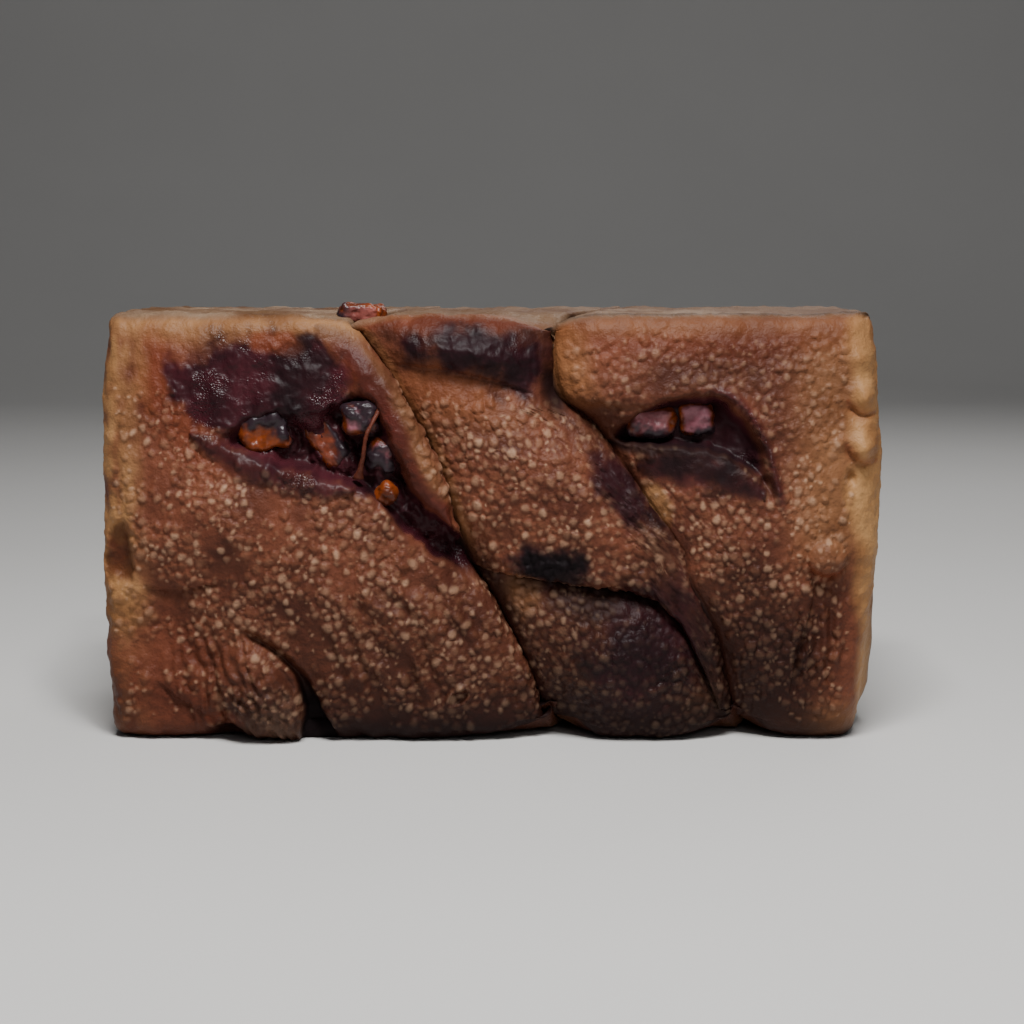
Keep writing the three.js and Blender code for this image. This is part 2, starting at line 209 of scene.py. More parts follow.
def trench(x, z, first, second, depth, walls, ragged=0.8, seed=1):
    """Depth of a hollow between two paths that both have it on their left."""
    wobble = ragged * rough_noise(x, z, 6.0, seed, 2)
    from_first = nearest_on_path(first, x, z, 90)[0] + wobble
    from_second = nearest_on_path(second, x, z, 90)[0] + wobble
    return depth * smoothstep(0, walls[0], from_first) * smoothstep(0, walls[1], from_second)


# Creases between the strands, from the floor up

FIRST_CREASE = smooth_path(
    [18, -6], [15.8, 5], [10.8, 21], [2.8, 38], [-5.2, 51], [-8.8, 61.5],
    [-12.6, 73], [-18, 88], [-25, 100], [-31, 110.5], [-38, 120], [-45, 132],
)
SECOND_CREASE = smooth_path(
    [73, -6], [71.5, 8], [66, 33], [58, 49], [56, 57], [45, 73],
    [33, 90.5], [27, 97], [21, 101.5], [18.3, 110], [18, 122], [18.5, 132],
)
# How deep each crease is at some heights, from 0 to 1
FIRST_DEPTH = np.array([
    [0, 0.8], [20, 0.85], [38, 0.95], [52, 1.0], [62, 0.8], [70, 0.5], [110, 0.45], [124, 0.6],
])
SECOND_DEPTH = np.array([
    [0, 0.8], [25, 0.6], [40, 0.3], [50, 0.16], [62, 0.25], [74, 0.55], [88, 0.85], [104, 0.8], [124, 0.6],
])
# The slit's height and depth, by the share of the way from the first crease to the second
SLIT = np.array([
    [0.0, 52.0, 0.35], [0.16, 50.0, 0.5], [0.34, 48.4, 0.7], [0.52, 46.8, 1.0], [0.7, 45.4, 1.0],
    [0.82, 42.5, 1.0], [0.88, 34.0, 0.8], [0.94, 21.0, 0.55], [1.0, 9.0, 0.15],
])

# Edges of the torn hollows, each with its hollow on the left

BODY_EDGE = smooth_path(
    [-92, 98], [-86, 92.5], [-79, 88.5], [-70, 84.5], [-60, 81], [-50, 78], [-42, 76],
    [-36, 72], [-30.5, 65.5], [-23.5, 59.5], [-15, 53], [-7.5, 46.5], [1, 38.5],
)
FILM_BROW = smooth_path(
    [-30, 108], [-38, 105], [-46, 101.5], [-55, 99], [-65, 99], [-73, 97], [-79, 92.5], [-86, 87],
)
FLAP_EDGE = smooth_path(
    [-2, 54], [-9.5, 60], [-16, 64.5], [-22.5, 71], [-27, 78], [-30.5, 87],
    [-34, 95], [-38.5, 103], [-44, 111], [-50, 118], [-58, 124],
)
HOOD_EDGE = smooth_path(
    [86.5, 62], [84.5, 71], [82.5, 79], [80, 88], [75.5, 97],
    [68.5, 103.5], [60, 104.5], [49, 102.5], [40, 98], [33, 91],
)
LIP_EDGE = smooth_path([33, 89], [40, 87.5], [48, 87], [57, 87], [65, 85.5], [72, 81.5], [78, 76], [83, 68])
BODY_FOOT = smooth_path([-42, -8], [-46, 3], [-50, 12], [-54, 20.5], [-60, 27.5], [-68, 33.5], [-76, 37])
KNOB_EDGE = smooth_path([-76, 33], [-70, 29.5], [-64, 25.5], [-59, 19.5], [-57, 12], [-57, 5], [-58, -8])

# Lips, folds and the outline of the syrup film

LEFT_LIP = smooth_path([-88, 92], [-79, 87], [-70, 82.5], [-60, 79], [-50, 76.5], [-40, 75.5])
RIGHT_LIP = smooth_path([42, 82], [54, 82], [66, 80.5], [79, 73.5])
FLAP = smooth_path([-52, 123], [-43, 117], [-35.5, 107], [-29, 96.5], [-23.5, 86], [-18.5, 75.5], [-12, 64.5])
SAG_FOLD = smooth_path([-104, 47.5], [-97, 46], [-88, 46.5], [-74, 50])
CORNER_FOLD = smooth_path([-101, 20], [-95, 14.5], [-89, 10.5], [-80, 6])
LUMP_FOLDS = (
    smooth_path([103, 101.5], [105.5, 98], [109, 96.8], [114, 97.5]),
    smooth_path([102.5, 89], [104.5, 85], [108, 83], [114, 83.5]),
    smooth_path([91.5, 54.5], [93.5, 51], [97.5, 49.5], [102.5, 52]),
)
UPRIGHT_FOLD = smooth_path([87, 12], [88.5, 24], [91.5, 36], [93.5, 44], [92, 53])
ROLL_FOLD = smooth_path([-32, 112], [-16, 110.5], [0, 107], [14, 102.5])
SYRUP_FILM = smooth_path(
    [-88, 94], [-80, 88.5], [-70, 84], [-60, 80.5], [-47, 77], [-36, 75], [-28, 84], [-33, 98],
    [-40, 109], [-47, 117], [-58, 120], [-74, 119.5], [-86, 117], [-92, 112], [-92, 103], [-88, 94],
)


def crossing(path, z):
    """x where a crease crosses the height z, and the cosine of its slant there."""
    x = np.interp(z, path[:, 1], path[:, 0])
    slope = np.interp(z, path[:, 1], np.gradient(path[:, 0], path[:, 1]))
    return x, 1.0 / np.hypot(1.0, slope)


# The section of the loaf: rows that go once round it, over the crown, the walls and the base

class Section:
    """Rows round the loaf. Each has a zone, a height, an unrolled height, a normal in (y, z) and more."""

    FIELDS = ("zone", "z", "unrolled", "normal", "share", "turn", "step")

    def __init__(self):
        self.rows = []

    def add(self, zone, z, unrolled, normal, share=0.0, turn=0.0, step=0.0):
        self.rows.append((zone, z, unrolled, normal, share, turn, step))

    def close(self):
        """Turns the rows into one array for each field."""
        for name, values in zip(self.FIELDS, zip(*self.rows)):
            setattr(self, name, np.array(values))
        self.on_crown = ~np.isin(self.zone, ("wall", "corner", "base"))
        return self


def loaf_section(folded=False):
    """Rows of a strand: up the lower wall, over the crown, down the upper wall and back along the base.

    A folded strand has a slit across its crown, where its upper part rolls over its lower part.
    """
    section = Section()
    low, high = RIM_RADIUS["bottom"], RIM_RADIUS["top"]
    wall_length = CROWN_DEPTH - DOME_ACROSS["top"] - BASE_RADIUS
    low_arc, high_arc = low * (math.pi / 2 - 1), high * (math.pi / 2 - 1)
    for share in np.linspace(1, 0, ROWS["wall"], endpoint=False) ** 1.8:
        section.add("wall", 0.0, -low_arc - share * (wall_length - low), (0, -1), share)
    for turn in np.linspace(math.pi / 2, 0, ROWS["rim_bottom"], endpoint=False):
        normal = (-math.cos(turn), -math.sin(turn))
        section.add("crown", low * (1 - math.sin(turn)), low * (1 - turn), normal, 0, turn)
    if folded:
        steps = {"below": (0, 1), "under": (0, SLIT_TUCK), "roll": (ROLL_TURN, 0), "above": (0, 1)}
        for zone, (first, last) in steps.items():
            for step in np.linspace(first, last, FOLD_ROWS[zone], endpoint=False):
                section.add(zone, WIDTH / 3, 0.0, (-1, 0), step=step)
    else:
        for z in np.linspace(low, WIDTH - high, ROWS["crown"], endpoint=False):
            section.add("crown", z, z, (-1, 0))
    for turn in np.linspace(0, math.pi / 2, ROWS["rim_top"], endpoint=False):
        z = WIDTH - high * (1 - math.sin(turn))
        section.add("crown", z, WIDTH - high * (1 - turn), (-math.cos(turn), math.sin(turn)), 0, turn)
    for share in np.linspace(0, 1, ROWS["wall"], endpoint=False) ** 1.8:
        section.add("wall", WIDTH, WIDTH + high_arc + share * (wall_length - high), (0, 1), share)
    edge = WIDTH + high_arc + wall_length - high
    for turn in np.linspace(0, math.pi / 2, ROWS["corner"], endpoint=False):
        z = WIDTH - WALL_TAPER - BASE_RADIUS * (1 - math.cos(turn))
        section.add("corner", z, edge + BASE_RADIUS * turn, (math.sin(turn), math.cos(turn)), 1, turn)
    edge += BASE_RADIUS * math.pi / 2
    for z in np.linspace(WIDTH - WALL_TAPER - BASE_RADIUS, BASE_RADIUS, ROWS["base"], endpoint=False):
        section.add("base", z, edge + WIDTH - BASE_RADIUS - z, (1, 0), 1)
    edge += WIDTH - 2 * BASE_RADIUS
    for turn in np.linspace(math.pi / 2, 0, ROWS["corner"], endpoint=False):
        z = BASE_RADIUS * (1 - math.cos(turn))
        unrolled = edge + BASE_RADIUS * (math.pi / 2 - turn)
        section.add("corner", z, unrolled, (math.sin(turn), -math.cos(turn)), 1, turn)
    return section.close()


def dome(x, z):
    """How far the crown falls away from its highest line, as a negative height."""
    across, along = np.abs(2 * z / WIDTH - 1), np.abs(2 * x / LENGTH)
    drop = np.where(z > WIDTH / 2, DOME_ACROSS["top"], DOME_ACROSS["bottom"])
    return -drop * across ** np.where(z > WIDTH / 2, 2.4, 4.0) - DOME_ALONG * along**2


def end_reach(side, z, share):
    """How far an end of the loaf reaches at a height and a share of the way from the crown to the base."""
    z = np.clip(z, 0, WIDTH)
    fullest, below, above = (65, 1.2, 1.6) if side == "left" else (88, 6.5, 2.2)
    drawn_in_below = below * (1 - z / fullest) ** 2
    drawn_in_above = above * ((z - fullest) / (WIDTH - fullest)) ** 2
    return LENGTH / 2 - mix(np.where(z < fullest, drawn_in_below, drawn_in_above), WALL_TAPER, share)


def seam_line(path, depths, section, z):
    """x of a seam round the loaf at every point, with the cosine of its slant and its strength."""
    x, slant = crossing(path, np.clip(z, 0, WIDTH))
    length = CROWN_DEPTH - DOME_ACROSS["top"]
    low_x, high_x = crossing(path, 0.0)[0], crossing(path, WIDTH)[0]
    share, turn = section.share[:, None], section.turn[:, None]
    zone, on_crown = section.zone[:, None], section.on_crown[:, None]
    wander = 5.0 * share * noise(section.unrolled, path[0, 0] + 0 * section.unrolled, 34, 95)[:, None]
    wall_x = np.where(z > WIDTH / 2, high_x, low_x) + SEAM_LEAN * length * share + wander
    base_x = mix(low_x, high_x, np.clip(z / WIDTH, 0, 1)) + SEAM_LEAN * length + wander
    x = np.where(on_crown, x, np.where(zone == "wall", wall_x, base_x))
    slant = np.where(on_crown, slant, 1.0)
    wall_strength = np.where(zone == "wall", np.where(z > WIDTH / 2, 0.45, 0.36) * (1 - share) ** 3, 0.0)
    crown_strength = np.interp(z, depths[:, 0], depths[:, 1]) * (1 - 0.55 * np.sin(turn) ** 2)
    return x, slant, np.where(on_crown, crown_strength, wall_strength)


def surface_y(x, z, section):
    """y of the plain loaf, before creases and relief."""
    top = (section.z > WIDTH / 2)[:, None]
    radius = np.where(top, RIM_RADIUS["top"], RIM_RADIUS["bottom"])
    turn, share, zone = section.turn[:, None], section.share[:, None], section.zone[:, None]
    crown = -(CROWN_DEPTH + dome(x, z)) + radius * (1 - np.cos(turn))
    rim = -(CROWN_DEPTH + dome(x, np.where(top, WIDTH, 0.0))) + radius
    wall = mix(rim, -BASE_RADIUS, share)
    corner = -BASE_RADIUS * (1 - np.sin(turn)) + 0 * x
    behind = np.where(zone == "wall", wall, np.where(zone == "corner", corner, 0 * x))
    return np.where(section.on_crown[:, None], crown, behind)


# Strands of dough: closed tubes of rings round the loaf, from one end or crease to the next

class Strand:
    """A strand's grid, rows by columns: where every point is, which way it faces and its unrolled (x, z).

    left and right say what bounds the strand: "end" for an end of the loaf, or whether it goes "over" or
    "under" at a crease, with the crease's path and its depths. away and to_right are how far each point is
    from its left and its right bound.
    """

    def __init__(self, section, left, right, columns):
        self.section = section
        self.make_columns(left, right, columns)
        self.make_heights()
        self.left, self.right = self.bound("left", left), self.bound("right", right)
        self.make_grid()

    def make_columns(self, left, right, count):
        """What each column is: part of a cap, a rolled edge, a tucked edge, or the flat run between them."""
        parts = []
        if left == "end":
            parts += [("cap", k) for k in np.linspace(0.002, 1, count["cap"], endpoint=False) ** 0.7]
            parts += [("roll", t) for t in np.linspace(math.pi / 2, 0, count["left"], endpoint=False)]
        else:
            parts += [("tuck", -t) for t in np.linspace(TUCK, 0, count["left"], endpoint=False)]
        first_flat = len(parts)
        parts += [("flat", p) for p in np.linspace(0, 1, count["flat"])]
        if right == "end":
            parts += [("roll", t) for t in np.linspace(0, math.pi / 2, count["right"] + 1)[1:]]
            parts += [("cap", k) for k in np.linspace(1, 0.002, count["cap"] + 1)[1:] ** 0.7]
        else:
            parts += [("roll", t) for t in np.linspace(0, ROLL_TURN, count["right"] + 1)[1:]]
        kind = np.array([part[0] for part in parts])
        value = np.array([part[1] for part in parts])
        self.at_left = (np.arange(len(kind)) < first_flat)[None, :]
        self.share = np.where(kind == "flat", value, np.where(self.at_left[0], 0.0, 1.0))[None, :]
        self.roll = np.where(kind == "roll", value, np.where(kind == "cap", math.pi / 2, 0.0))[None, :]
        self.tuck = np.where(kind == "tuck", value, 0.0)[None, :]
        self.cap = np.where(kind == "cap", value, 1.0)[None, :]

    def make_heights(self):
        """Height of every point, and what the slit across a folded strand does to it."""
        section = self.section
        shape = (len(section.z), self.share.shape[1])
        self.z = np.broadcast_to(section.z[:, None], shape).copy()
        self.unrolled_z = np.broadcast_to(section.unrolled[:, None], shape).copy()
        self.fold_inset, self.fold_turn, self.slit = np.zeros(shape), np.zeros(shape), np.full(shape, 1e3)
        slit_z = np.interp(self.share, SLIT[:, 0], SLIT[:, 1])
        self.slit_depth = np.interp(self.share, SLIT[:, 0], SLIT[:, 2])
        roll, drop = SLIT_ROLL * self.slit_depth, SLIT_DROP * self.slit_depth
        low, high = RIM_RADIUS["bottom"], WIDTH - RIM_RADIUS["top"]
        step, zone = section.step[:, None], section.zone[:, None]
        below, above = mix(low, slit_z, step), mix(slit_z + roll, high, step)
        under, rolled = slit_z + step, slit_z + roll * (1 - np.sin(step))
        dip = drop * np.exp(-(1 - step) * (slit_z - low) / SLIT_REACH)
        for name, z, unrolled, inset, turn in (
            ("below", below, below, dip, 0.0),
            ("under", under, under, drop + 0.4 * step, 0.0),
            ("roll", rolled, slit_z + roll * (1 - step), roll * (1 - np.cos(step)), step),
            ("above", above, above, 0.0, 0.0),
        ):
            rows = np.broadcast_to(zone == name, shape)
            for grid, values in (
                (self.z, z), (self.unrolled_z, unrolled), (self.fold_inset, inset), (self.fold_turn, turn),
                (self.slit, z - slit_z),
            ):
                grid[rows] = np.broadcast_to(values, shape)[rows]

    def bound(self, side, kind):
        """Where a strand's side runs, how far it is rolled, and how deep it dips under its neighbour."""
        section, z = self.section, self.z
        if kind == "end":
            reach = end_reach(side, section.z, section.share)[:, None] + 0 * z
            facing = np.where(section.on_crown, np.cos(section.turn), 0.0)[:, None]
            return {
                "x": -reach if side == "left" else reach, "slant": 1 + 0 * z,
                "radius": mix(WALL_END_RADIUS, END_RADIUS[side], facing) + 0 * z,
                "depth": WALL_END_RADIUS * (1 - facing), "setback": END_RADIUS[side], "drop": None,
            }
        order, path, depths = kind
        x, slant, strength = seam_line(path, depths, section, z)
        if order == "over":
            radius = 0.8 + 4.2 * strength
            return {"x": x, "slant": slant, "radius": radius, "depth": radius, "setback": 0.0, "drop": None}
        return {
            "x": x, "slant": slant, "radius": 0 * z, "depth": 0 * z, "setback": 0.0,
            "drop": 0.6 + 11.0 * strength, "reach": 5 + 6 * strength,
            "convex": 0.4 + 0.6 * smoothstep(88, 104, z) * (x > 0),
        }

    def make_grid(self):
        """Where the columns run, how deep they lie, and how much of the crown's relief reaches each point."""
        left, right = self.left, self.right
        left_radius, right_radius = left["radius"] / left["slant"], right["radius"] / right["slant"]
        depth = np.where(self.at_left, left["depth"], right["depth"])
        setback = np.where(self.at_left, left["setback"], right["setback"])
        across = np.where(self.at_left, left_radius, right_radius)
        self.direction = np.where(self.at_left, -1.0, 1.0)
        flat_x = mix(left["x"] + left_radius, right["x"] - right_radius, self.share) + self.tuck
        self.x = flat_x + self.direction * across * np.sin(self.roll)
        self.unrolled_x = flat_x + self.direction * across * self.roll
        self.inset = depth * (1 - np.cos(self.roll)) + self.fold_inset
        self.away = (flat_x - left["x"]) * left["slant"]
        self.to_right = (right["x"] - flat_x) * right["slant"]
        if left["drop"] is not None:
            out = np.clip(self.away, 0, 200) / left["reach"]
            rounded = 1 - np.sqrt(1 - np.clip(1 - out / 1.9, 0, 1) ** 2)
            dip = mix(np.exp(-out), rounded, left["convex"])
            self.inset = self.inset + left["drop"] * np.where(self.away > 0, dip, 1 - self.away / 12)
        self.crown = self.section.on_crown[:, None] + 0 * self.x
        self.lag = self.fading_over_walls(5)
        self.front = self.fading_over_walls(14)
        self.setback = setback * (1 - np.cos(self.roll)) * self.lag

    def fading_over_walls(self, rate):
        """1 on the crown, fading along the walls towards the base, and 0 on the base."""
        section = self.section
        behind = np.where(section.zone == "wall", np.exp(-rate * section.share), 0.0)
        return np.where(section.on_crown, 1.0, behind)[:, None] + 0 * self.x

    def place(self, form, relief):
        """Points in millimetres. The form is raised straight out of the loaf, the relief off its surface."""
        section = self.section
        inset = self.inset - form
        normal_y, normal_z = section.normal[:, 0:1], section.normal[:, 1:2]
        facing = np.cos(self.roll) * np.cos(self.fold_turn)
        points = np.stack([
            self.x + self.direction * np.sin(self.roll) * relief,
            surface_y(self.x, self.z, section) + self.setback - normal_y * inset + normal_y * facing * relief,
            self.z - normal_z * inset + normal_z * facing * relief - np.sin(self.fold_turn) * relief,
        ], -1)
        leaning = (section.zone == "wall") & (section.z > WIDTH / 2)
        points[..., 2] -= np.where(leaning, section.share * WALL_TAPER, 0.0)[:, None]
        points[..., 2] = np.maximum(points[..., 2], 0.0)
        return self.close_end(points)

    def close_end(self, points):
        """Draws the rings of a cap in to the middle of the end, which is flat but for some unevenness."""
        y = mix(-CROWN_DEPTH / 2, points[..., 1], self.cap)
        z = mix(WIDTH / 2, points[..., 2], self.cap)
        rim = CROWN_DEPTH - DOME_ACROSS["top"] - RIM_RADIUS["top"]
        share = np.clip((y + rim) / (rim - BASE_RADIUS), 0, 1)
        reach = end_reach("left" if self.at_left.any() else "right", z, share)
        reach = reach + 0.7 * rough_noise(y, z, 24, 91, 3)
        x = mix(self.direction * reach, points[..., 0], smoothstep(0.8, 1.0, self.cap))
        return np.stack([x, y, z], -1)


def new_piece(name, verts, faces, masks):
    """A smooth mesh in the scene, with its masks as point attributes."""
    mesh = bpy.data.meshes.new(name)
    mesh.from_pydata(verts.tolist(), [], faces)
    mesh.shade_smooth()
    for label, values in masks.items():
        layer = mesh.attributes.new(label, "FLOAT", "POINT")
        layer.data.foreach_set("value", np.clip(values, 0, 1).astype(np.float32).ravel())
    mesh.update()
    piece = bpy.data.objects.new(name, mesh)
    bpy.context.scene.collection.objects.link(piece)
    return piece


def strand_piece(name, points, masks):
    """A closed piece from rings of points, in millimetres of the loaf."""
    rows, columns = points.shape[:2]
    corner = np.arange(rows * columns).reshape(rows, columns)
    above = np.roll(corner, -1, 0)
    quads = np.stack([corner[:, :-1], corner[:, 1:], above[:, 1:], above[:, :-1]], -1)
    faces = quads.reshape(-1, 4).tolist()
    faces.append(corner[:, 0].tolist())
    faces.append(corner[::-1, -1].tolist())
    return new_piece(name, to_metres(points.reshape(-1, 3)), faces, masks)


# Blisters

# Radii in millimetres, from the largest down, and how many to try on each square centimetre
BLISTER_SIZES = ((1.5, 1.9, 6), (1.15, 1.5, 44), (0.85, 1.15, 100), (0.55, 0.85, 110))
BLISTER_CELL = 4
NEIGHBOUR_CELLS = [(i, j) for i in (-1, 0, 1) for j in (-1, 0, 1)]


def scatter_blisters(low, high, density, seed):
    """Blisters that keep off each other, more of them where density(x, z) is high.

    Each has its place, radius, bulge and tone.
    """
    rng = np.random.default_rng(seed)
    square_cm = (high[0] - low[0]) * (high[1] - low[1]) / 100
    radius = np.concatenate([rng.uniform(a, b, int(tries * square_cm)) for a, b, tries in BLISTER_SIZES])
    x = rng.uniform(low[0], high[0], len(radius))
    z = rng.uniform(low[1], high[1], len(radius))
    keep = rng.random(len(radius)) < density(x, z)
    cells, blisters = {}, []
    for bx, bz, r in zip(x[keep], z[keep], radius[keep]):
        column, row = int(bx // BLISTER_CELL), int(bz // BLISTER_CELL)
        near = [b for i, j in NEIGHBOUR_CELLS for b in cells.get((column + i, row + j), ())]
        if any((b[0] - bx) ** 2 + (b[1] - bz) ** 2 < (0.8 * (b[2] + r)) ** 2 for b in near):
            continue
        cells.setdefault((column, row), []).append((bx, bz, r))
        blisters.append((bx, bz, r, rng.uniform(0.28, 0.55), rng.random() ** 1.3))
    return blisters


def raise_blisters(x, z, blisters):
    """Height of the blisters at every point, a mask that is strong on pale ones, and how pale each is."""
    flat_x = (x + 0.6 * noise(x, z, 2.7, 71)).ravel()
    flat_z = (z + 0.6 * noise(x, z, 2.7, 72)).ravel()
    tree = kdtree.KDTree(len(flat_x))
    for i, (px, pz) in enumerate(zip(flat_x.tolist(), flat_z.tolist())):
        tree.insert((px, pz, 0.0), i)
    tree.balance()
    height, mask, tone = np.zeros(len(flat_x)), np.zeros(len(flat_x)), np.zeros(len(flat_x))
    for bx, bz, radius, bulge, pale in blisters:
        found = tree.find_range((bx, bz, 0.0), radius)
        if not found:
            continue
        index = np.array([f[1] for f in found])
        share = np.array([f[2] for f in found]) / radius
        height[index] = np.maximum(height[index], bulge * radius * (1 - share**2) ** 0.6)
        mask[index] = np.maximum(mask[index], smoothstep(1.0, 0.3, share) * mix(0.3, 1.0, pale))
        tone[index] = pale
    return height.reshape(x.shape), mask.reshape(x.shape), tone.reshape(x.shape)


def blistered(x, z, reach, density, open_crust, seed):
    """Height of the blisters on a strand's open crust, and the masks that colour them.

    reach is the strand's lowest and highest x.
    """
    blisters = scatter_blisters((reach[0], 1), (reach[1], 125), density, seed)
    height, mask, tone = raise_blisters(x, z, blisters)
    bubbly = np.clip(density(x, z), 0, 1)
    return height * open_crust, {"blister": mask * open_crust, "frost": tone, "bubbly": bubbly * open_crust}


# What the three strands share

def guava_bed(x, z, nodes):
    """1 at pieces of guava and 0 away from them, where dough and syrup rise against their sides."""
    bed = 0 * x
    for node in nodes:
        low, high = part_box(node)
        middle_x = ((low.x + high.x) / 2 - (LOAF_LOW.x + LOAF_HIGH.x) / 2) / MM
        middle_z = ((low.z + high.z) / 2 - LOAF_LOW.z) / MM
        wide, _, tall = GUAVA[node].size
        lean = -math.radians(GUAVA[node].turn)
        edge = ellipse(x, z, (middle_x, middle_z), (wide / 2, tall / 2), lean)
        bed = np.maximum(bed, smoothstep(1.9, 1.0, edge + 0.3 * noise(x, z, 4, 73)))
    return bed


def flank(distance, reach):
    """How far the round flank of a strand has fallen away, 1 at its edge and 0 from `reach` on."""
    return np.clip(1 - np.clip(distance, 0, None) / reach, 0, 1) ** 2


def crust_grain(x, z, seed):
    """Low unevenness that all of the crust has."""
    return 0.7 * rough_noise(x, z, 16, seed, 3) + 0.25 * rough_noise(x, z, 3.0, seed + 9, 3)


def syrup_film(x, z):
    """1 on the burnt film of syrup over the left pocket, with a ragged edge."""
    inside = nearest_on_path(SYRUP_FILM, x, z)[0] + 6.0 * rough_noise(x, z, 11, 41)
    return smoothstep(-3.5, 3.5, inside)


def crown_share(strand):
    """1 on the crown and 0 on the walls, with a soft change at the rims."""
    z = strand.unrolled_z
    return strand.crown * smoothstep(-3.0, 3.0, z) * smoothstep(WIDTH + 2, WIDTH - 2.5, z)


def rolled_under(strand):
    """1 where the strand's right edge has rolled in under itself at a crease."""
    turned = smoothstep(math.radians(85), math.radians(145), strand.roll)
    return turned * strand.crown * (strand.cap == 1) * (1 - strand.at_left)


def tin_crust(strand):
    """1 where the dough baked against the tin and stayed pale, less close to the crown's lower rim."""
    z = strand.unrolled_z
    return np.where(z > WIDTH / 2, 1 - crown_share(strand), smoothstep(-4, -16, z))


# Toast on the tin walls, how much flour lies on them at some x, and the crust of the ends inside their rims
WALL_TOAST = 0.82
WALL_FLOUR = ((-45, -25, 10, 28, 48, 90), (0.65, 0.3, 0.3, 0.5, 0.5, 0.2))
END_CRUST = {"pale": 0.9, "toast": 0.6, "flour": 0.35}


def with_walls(strand, masks):
    """Masks with the tin's toast and flour on a strand's walls, and the ends' own crust inside their rims."""
    rim = smoothstep(0.7, 1.0, strand.cap)
    crown = crown_share(strand)
    dusted = np.interp(strand.x, *WALL_FLOUR) * (strand.unrolled_z > WIDTH / 2)
    masks["toast"] = mix(WALL_TOAST, masks["toast"], crown)
    masks["flour"] = mix(dusted, masks.get("flour", 0.0), crown)
    return {name: mix(END_CRUST.get(name, 0.0), values, rim) for name, values in masks.items()}


# The left strand, from the left end to the first crease, with the knob, the left pocket and its flap

def left_blisters(x, z):
    """How thickly blisters lie on the left strand, from 0 to 1."""
    sparse = 0.03 + 0.97 * smoothstep(-0.3, 0.05, rough_noise(x, z, 15, 51, 2))
    flap_inner = smoothstep(-9.5, -6.5, nearest_on_path(FLAP_EDGE, x, z)[0]) * streak(x, z, FLAP, 8.0)
    clear = np.maximum(syrup_film(x, z), flap_inner)
    edge = smoothstep(-114, -98, x) * smoothstep(118, 80, z - 0.25 * x - 20) * smoothstep(1, 9, z)
    smooth_corner = patch(x, z, (-96, 22), (17, 24), seed=59)
    flap_top = smoothstep(98, 106, z) * (x > -54)
    return sparse * edge * (1 - clear) * (1 - 0.85 * smooth_corner) * (1 - 0.9 * flap_top)


